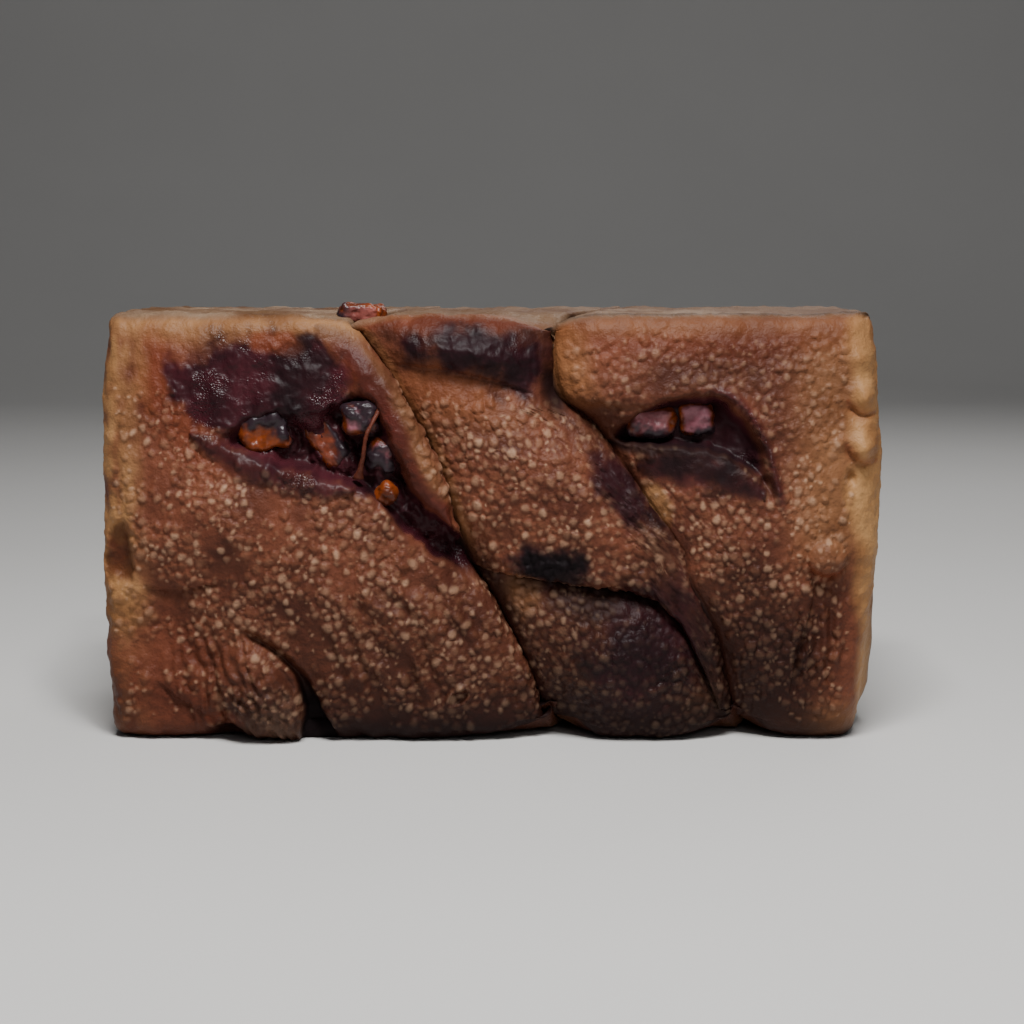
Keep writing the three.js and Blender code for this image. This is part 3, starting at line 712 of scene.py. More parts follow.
def left_shape(strand):
    """Form and relief of the left strand, and the marks that its tones follow."""
    x, z = strand.unrolled_x, strand.unrolled_z
    crown = crown_share(strand)
    relief = crust_grain(x, z, 11)

    # the body's swell, its flanks, the knob and two low folds
    form = 3.5 * mound(x, z, (-56, 54), (24, 50), 0.95)
    form -= 7.5 * flank(strand.to_right, 30) * strand.front * mix(0.22, 1.0, smoothstep(78, 56, z))
    strand.setback += 3.0 * flank(x + 114, 14) * strand.lag
    form += 3.0 * mound(x, z, (-84, 64), (22, 13)) - 3.5 * mound(x, z, (-97, 30), (18, 14))
    knob_swell = np.clip(1 - ellipse(x, z, (-67.5, 9), (11, 23), 0.4) ** 2, 0, 1) ** 0.7
    form += 6.5 * knob_swell * smoothstep(-4, 10, z)
    form -= crease(x, z, SAG_FOLD, (1.2, 5), (2.6, 8), 0.35)
    form -= crease(x, z, CORNER_FOLD, (1.0, 4), (2.2, 5), 0.4)

    # stretch ridges that run down to the right, wrinkles on and beside the knob, and a small burst bubble
    stretched = patch(x, z, (-22, 36), (38, 20), 0.9, soft=0.6, ragged=0.15)
    relief += 0.8 * stretched * np.sin(strand.to_right / 1.5 + 3.0 * noise(x, z, 14, 21) + 0.03 * z)
    wrinkled = patch(x, z, (-82, 20), (12, 15), soft=0.6, ragged=0.2)
    relief += 0.5 * wrinkled * np.sin((x + 0.3 * z) / 0.6 + 3.5 * noise(x, z, 8, 22))
    relief += 0.6 * wrinkled * noise(x, z, 2.8, 24)
    knob = patch(x, z, (-67, 9), (10.5, 14), 0.25, soft=0.4, ragged=0.15)
    knob_wrinkles = np.sin((x + 0.5 * z) / 0.5 + 3 * noise(x, z, 6, 23))
    relief += knob * (0.4 * knob_wrinkles + 0.6 * noise(x, z, 2.4, 25))
    end_grain = noise(x, 0.45 * z, 4.0, 26)
    relief += 0.3 * smoothstep(-96, -106, x) * crown * end_grain
    bubble = ellipse(x, z, (-10, 14), (4, 2.2), 0.6)
    relief += 0.9 * np.exp(-((bubble - 1) / 0.3) ** 2) - 0.9 * smoothstep(1, 0.5, bubble)

    # the hollow that tore open between the body and the flap, its rims and the syrup film above it
    flap_edge = nearest_on_path(FLAP_EDGE, x, z)[0] + 0.8 * rough_noise(x, z, 6, 36)
    flap_side = smoothstep(1.0, -3.5, flap_edge)
    opening = trench(x, z, BODY_EDGE, FILM_BROW, 8.0, (3.5, 6.5), ragged=1.4, seed=31) * (1 - flap_side)
    opening = opening * mix(0.75, 1.0, smoothstep(-28, -40, x)) * smoothstep(45, 62, z)
    opening = opening * (1 - 0.28 * guava_bed(x, z, LEFT_POCKET))
    relief += smoothstep(2, 6, opening) * (1.3 * rough_noise(x, z, 6, 46) + 0.4 * rough_noise(x, z, 2, 47, 2))
    flap = streak(x, z, FLAP, 5.2, soft=0.9, ragged=0.12)
    flap_inside = smoothstep(-9.0, -5.0, flap_edge) * smoothstep(0.05, 0.4, flap) * smoothstep(123, 113, z)
    form += 3.0 * flap * smoothstep(125, 108, z) + 1.8 * streak(x, z, LEFT_LIP, 3.4, soft=0.9, ragged=0.15)
    form += 1.6 * mound(x, z, (-25.5, 69), (1.8, 1.8))
    film = syrup_film(x, z)
    relief += film * (0.7 * rough_noise(x, z, 9, 44, 2) + 0.15 * rough_noise(x, z, 1.6, 45, 2))

    # the hollow beside the knob, a notch at the left end and a dip at the floor
    hollow = trench(x, z, BODY_FOOT, KNOB_EDGE, 6.0, (3.0, 1.6), ragged=0.5, seed=33)
    hollow = hollow * smoothstep(-76, -68, x) * strand.front * mix(1.0, 0.45, smoothstep(16, 27, z))
    notch = 3.5 * patch(x, z, (-109.5, 56), (3.2, 8.5), soft=0.7, ragged=0.5, seed=34)
    floor_dip = 3.5 * mound(x, z, (-78, 1), (6, 7)) * strand.front
    form -= opening + hollow * smoothstep(-3, 4, z) + notch + floor_dip

    open_crust = crown * (1 - np.clip(opening + notch, 0, 1)) * (1 - smoothstep(1, 4, hollow))
    height, blisters = blistered(x, z, (-113, 22), left_blisters, open_crust, 61)
    return form, relief + height, SimpleNamespace(
        blisters=blisters, wrinkled=wrinkled, knob=knob, end_grain=end_grain, film=film, opening=opening,
        flap=flap, flap_side=flap_side, flap_inside=flap_inside, hollow=hollow, notch=notch,
    )


def left_tones(strand, marks):
    """The masks that colour the left strand's crust."""
    x, z = strand.unrolled_x, strand.unrolled_z
    crown = crown_share(strand)
    in_hollow, in_notch = smoothstep(1, 4, marks.hollow), smoothstep(0.8, 3, marks.notch)
    syrup = strongest(
        marks.film * (1 - marks.flap_side),
        0.85 * streak(x, z, LEFT_LIP, 4.0, soft=0.7, seed=42),
        smoothstep(0.8, 3, marks.opening),
        0.5 * marks.flap_inside * marks.flap_side,
    )
    syrup = syrup * (1 - 0.75 * patch(x, z, (-63, 117.5), (9, 3.0), -0.2, seed=57))
    end_streaks = smoothstep(-98, -111, x + 4 * noise(x, 0.25 * z, 7, 50))
    end_streaks = end_streaks * smoothstep(-0.8, 0.3, marks.end_grain)
    pale = strongest(
        tin_crust(strand),
        0.75 * end_streaks * mix(0.2, 1, smoothstep(34, 60, z)),
        0.55 * smoothstep(114, 124, z),  # top rim
        0.85 * patch(x, z, (-110, 43), (7, 10), soft=0.8, ragged=0.4, seed=52),  # left edge, below the notch
        0.35 * marks.flap * (1 - marks.flap_inside),
    )
    # Toast: real browning, and painted shade low on the body, at the foot of the first crease and in the
    # hollow and the notch
    toast = strongest(
        patch(x, z, (4, 9), (19, 10), 0.6, seed=53),  # foot of the first crease, painted shade
        0.5 * patch(x, z, (-30, 24), (26, 13), 0.9, seed=54),  # stretched dough beside it
        0.75 * smoothstep(66, 8, z) * smoothstep(-90, -50, x),  # lower half of the body, painted shade darker towards the bottom
        smoothstep(17, 4, z) * smoothstep(-62, -45, x),  # foot of the body, painted shade
        0.85 * patch(x, z, (-67, 7), (13, 15), seed=62),  # knob
        # painted shade, darker towards the floor
        0.3 * smoothstep(40, 5, z),
        0.55 * smoothstep(6, 1, z),
        0.3 * marks.wrinkled,
        # painted shade in the hollow beside the knob and in the notch
        0.75 * smoothstep(1, 5, marks.hollow),
        0.55 * in_notch,
        0.45 * marks.flap * smoothstep(80, 96, z),
    )
    # Char: real burns on the film, and painted shade in the pocket, the hollow, the edge that curls under
    # into the first crease, and low down
    char = strongest(
        # partly charred syrup, partly painted shade deep in the pocket
        0.35 * smoothstep(3.0, 7.0, marks.opening + 2.0 * rough_noise(x, z, 5, 48)),
        # painted shade in the hollow beside the knob
        in_hollow * mix(0.4, 0.95, smoothstep(22, 10, z)),
        # painted shade on the edge that curls under into the first crease
        rolled_under(strand),
        0.6 * patch(x, z, (-55, 111), (9, 11), ragged=0.6, seed=65) * marks.film,
        0.7 * smoothstep(17, 2, z) * strand.crown * smoothstep(-62, -46, x),  # foot of the body, painted shade
        0.6 * patch(x, z, (-78, 2), (5, 4), soft=0.7, seed=68) * strand.crown,  # dip at the floor, painted shade
    )
    stain = strongest(
        0.65 * patch(x, z, (-97, 108), (6, 14), soft=0.6, seed=56),  # upper left corner
        0.6 * patch(x, z, (-88, 97), (8, 16), 0.5, soft=0.6, seed=66),  # left of the film
        patch(x, z, (-63, 117.5), (9, 3.5), -0.2, seed=57),  # top edge of the film
        0.6 * patch(x, z, (-80, 7), (5, 3), seed=58),  # left of the knob
        0.25 * patch(x, z, (-97, 20), (16, 20), seed=67),  # lower left corner
        0.55 * marks.flap_inside,
        0.3 * in_notch,
    )
    return marks.blisters | {
        "syrup": syrup * crown, "char": char, "pale": pale, "toast": toast, "stain": stain * crown,
        "flour": 0.3 * marks.knob * smoothstep(22, 6, z),
    }


# The middle strand, from the first crease to the second, folded over itself at the slit, with a roll on top

def middle_blisters(x, z):
    """How thickly blisters lie on the middle strand, from 0 to 1."""
    sparse = 0.12 + 0.88 * smoothstep(-0.4, 0.0, rough_noise(x, z, 13, 151, 2))
    away, _ = nearest_on_path(FIRST_CREASE, x, z, 90)
    return sparse * smoothstep(0.5, 3, -away) * smoothstep(104, 96, z)


def middle_shape(strand):
    """Form and relief of the middle strand, and the marks that its tones follow."""
    x, z = strand.unrolled_x, strand.unrolled_z
    relief = crust_grain(x, z, 12)

    # the swells above and below the slit, the flank that falls to the second crease, and the roll on top
    form = 3.0 * mound(x, z, (16, 77), (18, 34), 0.87) + 4.0 * mound(x, z, (38, 24), (18, 22), 0.9)
    to_crease = nearest_on_path(SECOND_CREASE, x, z, 90)[0]
    form -= 10.0 * flank(to_crease, 26) * strand.front * np.interp(z, SECOND_DEPTH[:, 0], SECOND_DEPTH[:, 1])
    form += 5.5 * mound(x, z, (-7, 115.5), (28, 7.0), -0.1)
    form -= crease(x, z, ROLL_FOLD, (1.0, 4), (1.8, 7))

    # dips at the foot of the first crease and beside the right strand's shoulder
    form -= 8.0 * mound(x, z, (20, -3), (9, 20)) * strand.front
    form -= 3.5 * mound(x, z, (18.5, 105), (4, 7))

    folded_under = (strand.section.zone == "under")[:, None] | (strand.fold_turn > math.radians(95))
    open_crust = crown_share(strand) * (1 - folded_under)
    height, blisters = blistered(x, z, (-45, 76), middle_blisters, open_crust, 62)
    relief += height

    # burnt places, with a rough skin
    roll_burn = strongest(
        patch(x, z, (-5, 115.5), (19, 5.5), -0.08, soft=0.5, ragged=0.45, seed=141),
        patch(x, z, (7, 111), (8, 7.5), soft=0.5, ragged=0.45, seed=140),
    )
    relief += roll_burn * (0.5 * rough_noise(x, z, 4.5, 171, 2) + 0.22 * rough_noise(x, z, 1.7, 172, 2))
    edge_burn = patch(x, z, (38, 75), (5.5, 13), 0.7, soft=0.5, ragged=0.5, seed=142)
    oval_burn = patch(x, z, (17, 53), (11.5, 5), -0.1, soft=0.5, ragged=0.4, seed=143)
    tail_burn = patch(x, z, (45, 29), (20, 14), 0.9, soft=0.6, ragged=0.4, seed=144)
    relief += 0.35 * np.maximum(edge_burn, oval_burn) * rough_noise(x, z, 2.2, 173, 2)
    return form, relief, SimpleNamespace(
        blisters=blisters, folded_under=folded_under, roll_burn=roll_burn, edge_burn=edge_burn,
        oval_burn=oval_burn, tail_burn=tail_burn,
    )


def middle_tones(strand, marks):
    """The masks that colour the middle strand's crust."""
    x, z = strand.unrolled_x, strand.unrolled_z
    crown = crown_share(strand)
    syrup = strongest(marks.roll_burn, 0.9 * marks.edge_burn, marks.oval_burn, 0.8 * marks.tail_burn)
    toast = strongest(
        patch(x, z, (46, 25), (28, 21), 0.9, soft=0.6, seed=145),  # tail below the slit
        0.9 * patch(x, z, (-5, 122), (26, 6), seed=146),  # above the roll
        # painted shade, darker towards the bottom
        0.95 * smoothstep(58, 24, z),
        # painted shade where the strand rolls over into the second crease
        0.5 * smoothstep(12, 2, strand.to_right),
        0.6 * marks.roll_burn,
        # painted shade beside the first crease
        smoothstep(9, 2, strand.away) * smoothstep(66, 50, z),
    )
    pale = strongest(
        tin_crust(strand),
        0.3 * smoothstep(4, 1, strand.away) * smoothstep(50, 66, z),
        0.2 * patch(x, z, (-12, 102), (19, 8), -0.2, soft=0.8, seed=147),  # below the roll
        0.3 * patch(x, z, (8, 44), (6, 7), seed=148),  # left end of the slit
        0.4 * patch(x, z, (63, 8), (6, 8), seed=149),  # foot of the tail
    )
    # Painted shadow under the slit's fold, and on the dough that turns under it
    below_slit = smoothstep(-8.0, -0.5, strand.slit) * (strand.slit <= 0) * strand.slit_depth
    in_slit = np.maximum(below_slit, smoothstep(55, 100, np.degrees(strand.fold_turn)))
    # Char: real burns, and painted shade under the slit, in the creases and low down
    char = strongest(
        # painted shadow under the slit
        0.9 * in_slit * strand.crown,
        # painted shade on the dough folded under the slit
        marks.folded_under * 1.0,
        # painted shade on the edge that curls under into the second crease
        rolled_under(strand),
        # painted shade beside the first crease
        0.9 * smoothstep(1.2 * smoothstep(70, 55, z) + 0.6, -1.6, strand.away) * strand.crown,
        0.2 * smoothstep(5, 2, strand.away) * smoothstep(60, 48, z) * strand.crown,
        marks.oval_burn,
        0.65 * marks.roll_burn,
        0.6 * marks.tail_burn,
        0.65 * marks.edge_burn,
        # painted shade, darker towards the bottom
        0.75 * smoothstep(26, 4, z) * strand.crown,
        0.75 * patch(x, z, (31, 41), (15, 4.5), -0.15, soft=0.7, seed=157),  # below the slit, painted shadow
        0.85 * patch(x, z, (18, 105), (3.6, 7.5), 0.25, soft=0.6, seed=158),  # beside the right shoulder, painted shadow in the pit there
        # painted shade beside the second crease, low down
        0.5 * smoothstep(14, 6, strand.to_right) * smoothstep(46, 36, z) * crown,
    )
    stain = strongest(
        0.55 * patch(x, z, (-12, 126), (30, 6), seed=156),  # top rim
        0.5 * patch(x, z, (-13, 104), (19, 8), -0.15, soft=0.8, seed=147),  # below the roll
    )
    return marks.blisters | {
        "syrup": syrup * crown, "char": char, "pale": pale, "toast": toast, "stain": stain,
    }


# The right strand, from the second crease to the right end, with the hood over its pocket and some lumps

def right_blisters(x, z):
    """How thickly blisters lie on the right strand, from 0 to 1."""
    sparse = 0.1 + 0.9 * smoothstep(-0.4, 0.05, rough_noise(x, z, 13, 251, 2))
    away, _ = nearest_on_path(SECOND_CREASE, x, z, 90)
    edge = smoothstep(122, 114, z) * smoothstep(106, 92, x) * smoothstep(4, 22, z)
    edge = edge * mix(1.0, 0.6, smoothstep(90, 104, z))
    lip_clear = 1 - streak(x, z, RIGHT_LIP, 6.5, soft=0.4)
    return sparse * smoothstep(1, 4 + 10 * smoothstep(80, 100, z), -away) * edge * lip_clear


def right_shape(strand):
    """Form and relief of the right strand, and the marks that its tones follow."""
    x, z = strand.unrolled_x, strand.unrolled_z
    relief = crust_grain(x, z, 13)

    # the strand's swell, the lumps along the right end and the folds under them
    strand.setback += 3.5 * flank(114 - x, 24) * strand.lag
    form = 3.5 * mound(x, z, (80, 58), (24, 46), 0.3)
    form += 3.4 * np.sqrt(np.clip(1 - ellipse(x, z, (97.5, 55.5), (6.0, 5.4)) ** 2, 0, 1))
    form += 4.0 * mound(x, z, (109, 102.5), (4.5, 4.8)) + 4.0 * mound(x, z, (108.5, 87.5), (4.5, 4.8))
    form += 2.0 * mound(x, z, (110, 95), (3.5, 3)) + 2.0 * mound(x, z, (108, 113), (5, 4))
    form -= 3.0 * mound(x, z, (104.5, 78.5), (2.0, 3))
    for fold in LUMP_FOLDS:
        form -= crease(x, z, fold, (1.0, 3), (1.7, 3.5), 0.3)

    # the upright fold and its wrinkles, and a dip at the foot of the second crease
    form -= crease(x, z, UPRIGHT_FOLD, (0.8, 4), (1.8, 8))
    wrinkled = patch(x, z, (95, 28), (10, 15), soft=0.5, ragged=0.2)
    relief += 0.6 * wrinkled * np.sin(x / 0.8 + 2.5 * noise(x, z, 9, 222))
    form -= 6.0 * mound(x, z, (75, -3), (7, 18)) * strand.front

    # the hollow between the hood and the lip, where the cubes sit
    pocket = trench(x, z, HOOD_EDGE, LIP_EDGE, 8.0, (7.0, 2.5), seed=231)
    pocket = pocket * mix(1.0, 0.7, smoothstep(64, 72, x)) * smoothstep(64, 75, z)
    hood, _ = nearest_on_path(HOOD_EDGE, x, z)
    hood_rim = np.exp(-((hood - 0.6) / 1.6) ** 2) * smoothstep(58, 69, x) * smoothstep(66, 76, z)
    form += 0.8 * streak(x, z, RIGHT_LIP, 5.0, soft=0.9) + 1.8 * hood_rim - pocket

    open_crust = crown_share(strand) * (1 - smoothstep(0.8, 2.2, pocket))
    height, blisters = blistered(x, z, (12, 114), right_blisters, open_crust, 63)
    blisters["blister"] *= mix(1.0, 0.55, smoothstep(86, 100, z))
    return form, relief + height, SimpleNamespace(blisters=blisters, pocket=pocket, hood_rim=hood_rim)


def right_tones(strand, marks):
    """The masks that colour the right strand's crust."""
    x, z = strand.unrolled_x, strand.unrolled_z
    crown = crown_share(strand)
    syrup = strongest(
        0.85 * streak(x, z, RIGHT_LIP, 5.5, soft=0.9, ragged=0.6, seed=241),
        0.8 * marks.hood_rim,
        smoothstep(0.8, 4, marks.pocket),
    )
    # Toast: real browning, and painted shade low on the strand and beside the second crease
    toast = strongest(
        0.3 * patch(x, z, (60, 107), (24, 6), seed=245),  # hood
        0.3 * patch(x, z, (28, 96), (12, 7), -0.6, seed=247),  # shoulder
        0.7 * patch(x, z, (74, 44), (11, 14), soft=0.7, seed=249),  # middle of the strand
        0.95 * patch(x, z, (80, 24), (12, 20), seed=246),  # foot of the strand, painted shade
        # painted shade, darker towards the bottom
        smoothstep(64, 24, z) * smoothstep(106, 90, x),
        # painted shade beside the second crease
        0.9 * smoothstep(14, 2, strand.away) * smoothstep(60, 40, z),
        # painted shade at the floor
        0.5 * smoothstep(5, 0, z),
        0.12 * smoothstep(98, 110, z) * smoothstep(26, 40, x),
    )
    upper = smoothstep(40, 80, z)
    end_edge = smoothstep(mix(105, 98, upper), mix(112, 107, upper), x + 3 * noise(x, 0.5 * z, 9, 257))
    shoulder_edge = smoothstep(14, 2, strand.away) * smoothstep(96, 106, z)
    pale = strongest(
        tin_crust(strand),
        0.95 * end_edge,
        0.55 * shoulder_edge,
        0.55 * patch(x, z, (48, 71), (3.5, 6.5), 0.5, seed=258),  # under the lip
        0.3 * smoothstep(117, 123, z),  # top rim
        0.3 * smoothstep(80, 98, x) * smoothstep(45, 65, z),
        0.35 * smoothstep(16, 4, z) * smoothstep(80, 96, x),  # lower right corner
    )
    # Char: real burns on the lip, and painted shade in the pocket, under the cubes, at the second crease and
    # low down
    char = strongest(
        # partly charred syrup, partly painted shade deep in the pocket
        0.5 * smoothstep(3.0, 6.0, marks.pocket),
        0.8 * patch(x, z, (60, 82.5), (19, 4.5), -0.22, soft=0.7, ragged=0.6, seed=242),  # lip
        # painted shadow under the cubes, along the lip's top edge
        0.85 * streak(x, z, LIP_EDGE, 3.2, soft=0.8, seed=243) * smoothstep(78, 68, x),
        0.35 * patch(x, z, (82, 22), (11, 20), seed=248),  # foot of the strand, painted shade
        # painted shade at the second crease
        0.9 * smoothstep(0.6, -1.6, strand.away) * strand.crown,
        # painted shade at the floor
        0.5 * smoothstep(8, 0, z) * strand.crown,
        0.5 * np.exp(-((z - WIDTH - 1.6) / 1.1) ** 2) * smoothstep(16, 24, x),  # painted shadow line along the top rim
    )
    stain = strongest(
        0.2 * patch(x, z, (112, 100), (4, 20), seed=256),  # right edge
        0.5 * shoulder_edge,
        0.7 * strongest(*(streak(x, z, fold, 1.6, soft=0.9) for fold in LUMP_FOLDS)),
        0.35 * smoothstep(108, 119, z),
    )
    return marks.blisters | {
        "syrup": syrup * crown, "char": char, "pale": pale, "toast": toast, "stain": stain * crown,
    }


# For each strand: its section, what bounds it at the left and the right, its columns, its shape and its tones
STRANDS = {
    "left_strand": (
        loaf_section(), "end", ("over", FIRST_CREASE, FIRST_DEPTH),
        {"cap": 16, "left": 12, "flat": 238, "right": 30}, left_shape, left_tones,
    ),
    "middle_strand": (
        loaf_section(folded=True),
        ("under", FIRST_CREASE, FIRST_DEPTH), ("over", SECOND_CREASE, SECOND_DEPTH),
        {"left": 14, "flat": 140, "right": 30}, middle_shape, middle_tones,
    ),
    "right_strand": (
        loaf_section(), ("under", SECOND_CREASE, SECOND_DEPTH), "end",
        {"cap": 16, "left": 14, "flat": 176, "right": 24}, right_shape, right_tones,
    ),
}


def dough_strand(name):
    """One of the three strands, shaped and with its masks."""
    section, left, right, columns, shape, tones = STRANDS[name]
    strand = Strand(section, left, right, columns)
    form, relief, marks = shape(strand)
    masks = with_walls(strand, tones(strand, marks))
    return strand_piece(name, strand.place(form, relief), masks)


def dough_string():
    """A thin string of dough that still bridges the left pocket."""
    along = np.linspace(0, 1, 36)[None, :]
    around = np.linspace(0, 2 * math.pi, 14, endpoint=False)[:, None]
    x = -32.0 - 6.8 * along - 1.2 * np.sin(math.pi * along) + 0.3 * np.sin(11 * along)
    y = -93.0 - 4.6 * np.sin(math.pi * along) - 2.0 * along
    z = 101.5 - 23.0 * along
    uneven = noise(6 * along + 0 * around, 3 + 0.3 * around, 0.5, 81)
    radius = 0.62 + 1.1 * (2 * along - 1) ** 4 + 0.2 * uneven
    points = np.stack([x + radius * np.cos(around), y + radius * np.sin(around), z + 0 * around], -1)
    even = np.ones(points.shape[:2])
    masks = {"stain": 0.4 * even, "syrup": 0.25 * even, "toast": 0.25 * even}
    return strand_piece("dough_string", points, masks)


# Pieces of guava paste

# size is in millimetres and turn in degrees. burnt is which way (x, z) a piece is charred, and how much.
# bloom is how much of a pale bloom is on its faces.
Guava = namedtuple("Guava", "size turn burnt bloom seed")
GUAVA = {
    "guava_cube_left": Guava((13.4, 13, 9.4), 2, (0.1, -1, 0.35), 0.75, 301),
    "guava_cube_right": Guava((10.6, 13, 10), -7, (0.4, -1, 0.25), 1.0, 302),
    "guava_chunk_charred": Guava((14.5, 13, 11.5), -12, (0.8, 0.9, 0.6), 0, 303),
    "guava_slab": Guava((8.2, 13, 18), -36, (1, -0.3, 0.38), 0.1, 304),
    "guava_lump_upper": Guava((10.4, 12, 9), -6, (0.2, 0.4, 0.7), 1.0, 305),
    "guava_lump_lower": Guava((8.4, 11, 10.4), 14, (0, -0.4, 0.74), 0.8, 306),
    "guava_bit": Guava((6.4, 10, 5.6), 40, (0.6, -0.5, 0.1), 0, 307),
    "guava_tab": Guava((13.6, 10, 6.4), 3, (-0.7, -0.3, 0.48), 0.35, 308),
}
LEFT_POCKET = ("guava_chunk_charred", "guava_slab", "guava_lump_upper", "guava_lump_lower", "guava_bit")
GUAVA_STEPS = 30
GUAVA_EDGE_RADIUS = 2.6


def block_skin(steps):
    """Points and faces of a block from -1 to 1, with a grid on each of its six sides."""
    line = np.linspace(-1, 1, steps)
    a, b = np.meshgrid(line, line)
    points, faces = [], []
    for axis in range(3):
        for sign, first, second in ((-1, b, a), (1, a, b)):
            side = np.zeros((steps, steps, 3))
            side[..., axis] = sign
            side[..., (axis + 1) % 3] = first
            side[..., (axis + 2) % 3] = second
            index = len(points) * steps * steps + np.arange(steps * steps).reshape(steps, steps)
            quads = np.stack([index[:-1, :-1], index[:-1, 1:], index[1:, 1:], index[1:, :-1]], -1)
            points.append(side.reshape(-1, 3))
            faces += quads.reshape(-1, 4).tolist()
    return np.vstack(points), faces


def guava_piece(node, guava):
    """A block of fruit paste with soft edges and a wavy skin, in place of a plain one."""
    low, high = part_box(node)
    half = np.array(guava.size) / 2
    block, faces = block_skin(GUAVA_STEPS)
    p = block * half
    inner = np.clip(p, -(half - GUAVA_EDGE_RADIUS), half - GUAVA_EDGE_RADIUS)
    normal = p - inner
    normal = normal / np.maximum(np.linalg.norm(normal, axis=1, keepdims=True), 1e-9)
    p = inner + normal * GUAVA_EDGE_RADIUS
    lumps = rough_noise(p[:, 0] + 0.7 * p[:, 1], p[:, 2] - 0.6 * p[:, 1], 6, guava.seed, 2)
    wrinkles = rough_noise(p[:, 0] - 0.5 * p[:, 1], p[:, 2] + 0.8 * p[:, 1], 1.8, guava.seed + 5, 2)
    p = p + normal * (1.1 * lumps + 0.25 * wrinkles)[:, None]
    burnt_x, burnt_z, burnt = guava.burnt
    char = 0.5 * (burnt_x * block[:, 0] + burnt_z * block[:, 2]) + burnt + 0.35 * lumps + 0.15 * wrinkles
    face_middle = smoothstep(0.95, 0.55, np.abs(block[:, 0])) * smoothstep(1.0, 0.7, np.abs(block[:, 2]))
    cos, sin = math.cos(math.radians(guava.turn)), math.sin(math.radians(guava.turn))
    turned = np.stack([p[:, 0] * cos + p[:, 2] * sin, p[:, 1], -p[:, 0] * sin + p[:, 2] * cos], 1)
    verts = turned * MM + np.array((low + high) / 2)
    masks = {"char": smoothstep(0.4, 0.8, char), "bloom": guava.bloom * face_middle}
    piece = new_piece(node + "_paste", verts, faces, masks)
    weld = piece.modifiers.new("weld", "WELD")
    weld.merge_threshold = 0.00001
    return piece


# Materials

def srgb(red, green, blue):
    """A colour given in the usual 0 to 255 values, as a shader colour."""
    values = []
    for channel in (red, green, blue):
        v = channel / 255
        values.append(v / 12.92 if v <= 0.04045 else ((v + 0.055) / 1.055) ** 2.4)
    return (*values, 1.0)


# Finishes that vary, each from its dark colour to its light one
BROWN_CRUST = srgb(76, 41, 30), srgb(115, 66, 47)
TIN_CRUST = srgb(150, 104, 63), srgb(184, 141, 92)
SPECK = srgb(124, 70, 42), srgb(178, 130, 102)
BLISTER = srgb(126, 80, 54), srgb(179, 143, 115)
SYRUP = srgb(18, 8, 14), srgb(64, 25, 34)
GUAVA_PASTE = srgb(72, 30, 14), srgb(130, 58, 20)
BLOOM = srgb(112, 60, 70), srgb(150, 100, 114)
FLOOR = srgb(196, 194, 191), srgb(204, 202, 199)

# Finishes of one colour
CRUST_SHADE = srgb(66, 29, 20)
# toast, and painted shade low on the crown and beside creases
TOASTED_AND_SHADED = srgb(45, 22, 16)
STAINED = srgb(109, 47, 25)
FLOUR = srgb(172, 150, 128)
# char, and painted shade in creases, hollows and low on the crown
BURNT_AND_SHADED_CRUST = srgb(14, 6, 9)
BURNT_GUAVA = srgb(40, 27, 33)


class Nodes:
    """Short ways to add and link the nodes of a material or a node group."""

    def __init__(self, tree):
        self.tree = tree

    def fill(self, node, inputs):
        """Links or sets some inputs of a node, each by its name or number."""
        for key, value in inputs.items():
            if isinstance(value, bpy.types.NodeSocket):
                self.tree.links.new(value, node.inputs[key])
            else:
                node.inputs[key].default_value = value

    def add(self, kind, inputs=None, **settings):
        node = self.tree.nodes.new(kind)
        for name, value in settings.items():
            setattr(node, name, value)
        self.fill(node, inputs or {})
        return node

    def attribute(self, name):
        return self.add("ShaderNodeAttribute", attribute_name=name).outputs["Fac"]

    def place(self):
        return self.add("ShaderNodeTexCoord").outputs["Object"]

    def remap(self, value, low, high, to_low=0.0, to_high=1.0):
        ends = {"From Min": low, "From Max": high, "To Min": to_low, "To Max": to_high}
        return self.add("ShaderNodeMapRange", {"Value": value, **ends}).outputs["Result"]

    def mix(self, share, a, b):
        return self.add("ShaderNodeMix", {0: share, 6: a, 7: b}, data_type="RGBA").outputs[2]

    def math(self, operation, a, b):
        return self.add("ShaderNodeMath", {0: a, 1: b}, operation=operation).outputs[0]

    def times(self, a, b):
        return self.math("MULTIPLY", a, b)

    def plus(self, a, b):
        return self.math("ADD", a, b)

    def bump(self, height, distance, strength):
        inputs = {"Height": height, "Distance": distance, "Strength": strength}
        return self.add("ShaderNodeBump", inputs).outputs["Normal"]

    def blotches(self, scale, detail, low=0.0, high=1.0, roughness=0.55):
        inputs = {"scale": scale, "detail": detail, "roughness": roughness, "low": low, "high": high}
        return self.add("ShaderNodeGroup", inputs, node_tree=BLOTCHES).outputs["lightness"]

    def charring_and_shading(self, colour, char_and_shade_colour):
        inputs = {"colour": colour, "char and shade colour": char_and_shade_colour}
        return self.add("ShaderNodeGroup", inputs, node_tree=CHARRING_AND_SHADING).outputs["colour"]


def new_group(name, inputs, outputs):
    """The nodes of a new shader node group, and the sockets that it is given."""
    tree = bpy.data.node_groups.new(name, "ShaderNodeTree")
    for in_out, sockets in (("INPUT", inputs), ("OUTPUT", outputs)):
        for label, kind in sockets.items():
            tree.interface.new_socket(label, in_out=in_out, socket_type=kind)
    n = Nodes(tree)
    return n, n.add("NodeGroupInput").outputs


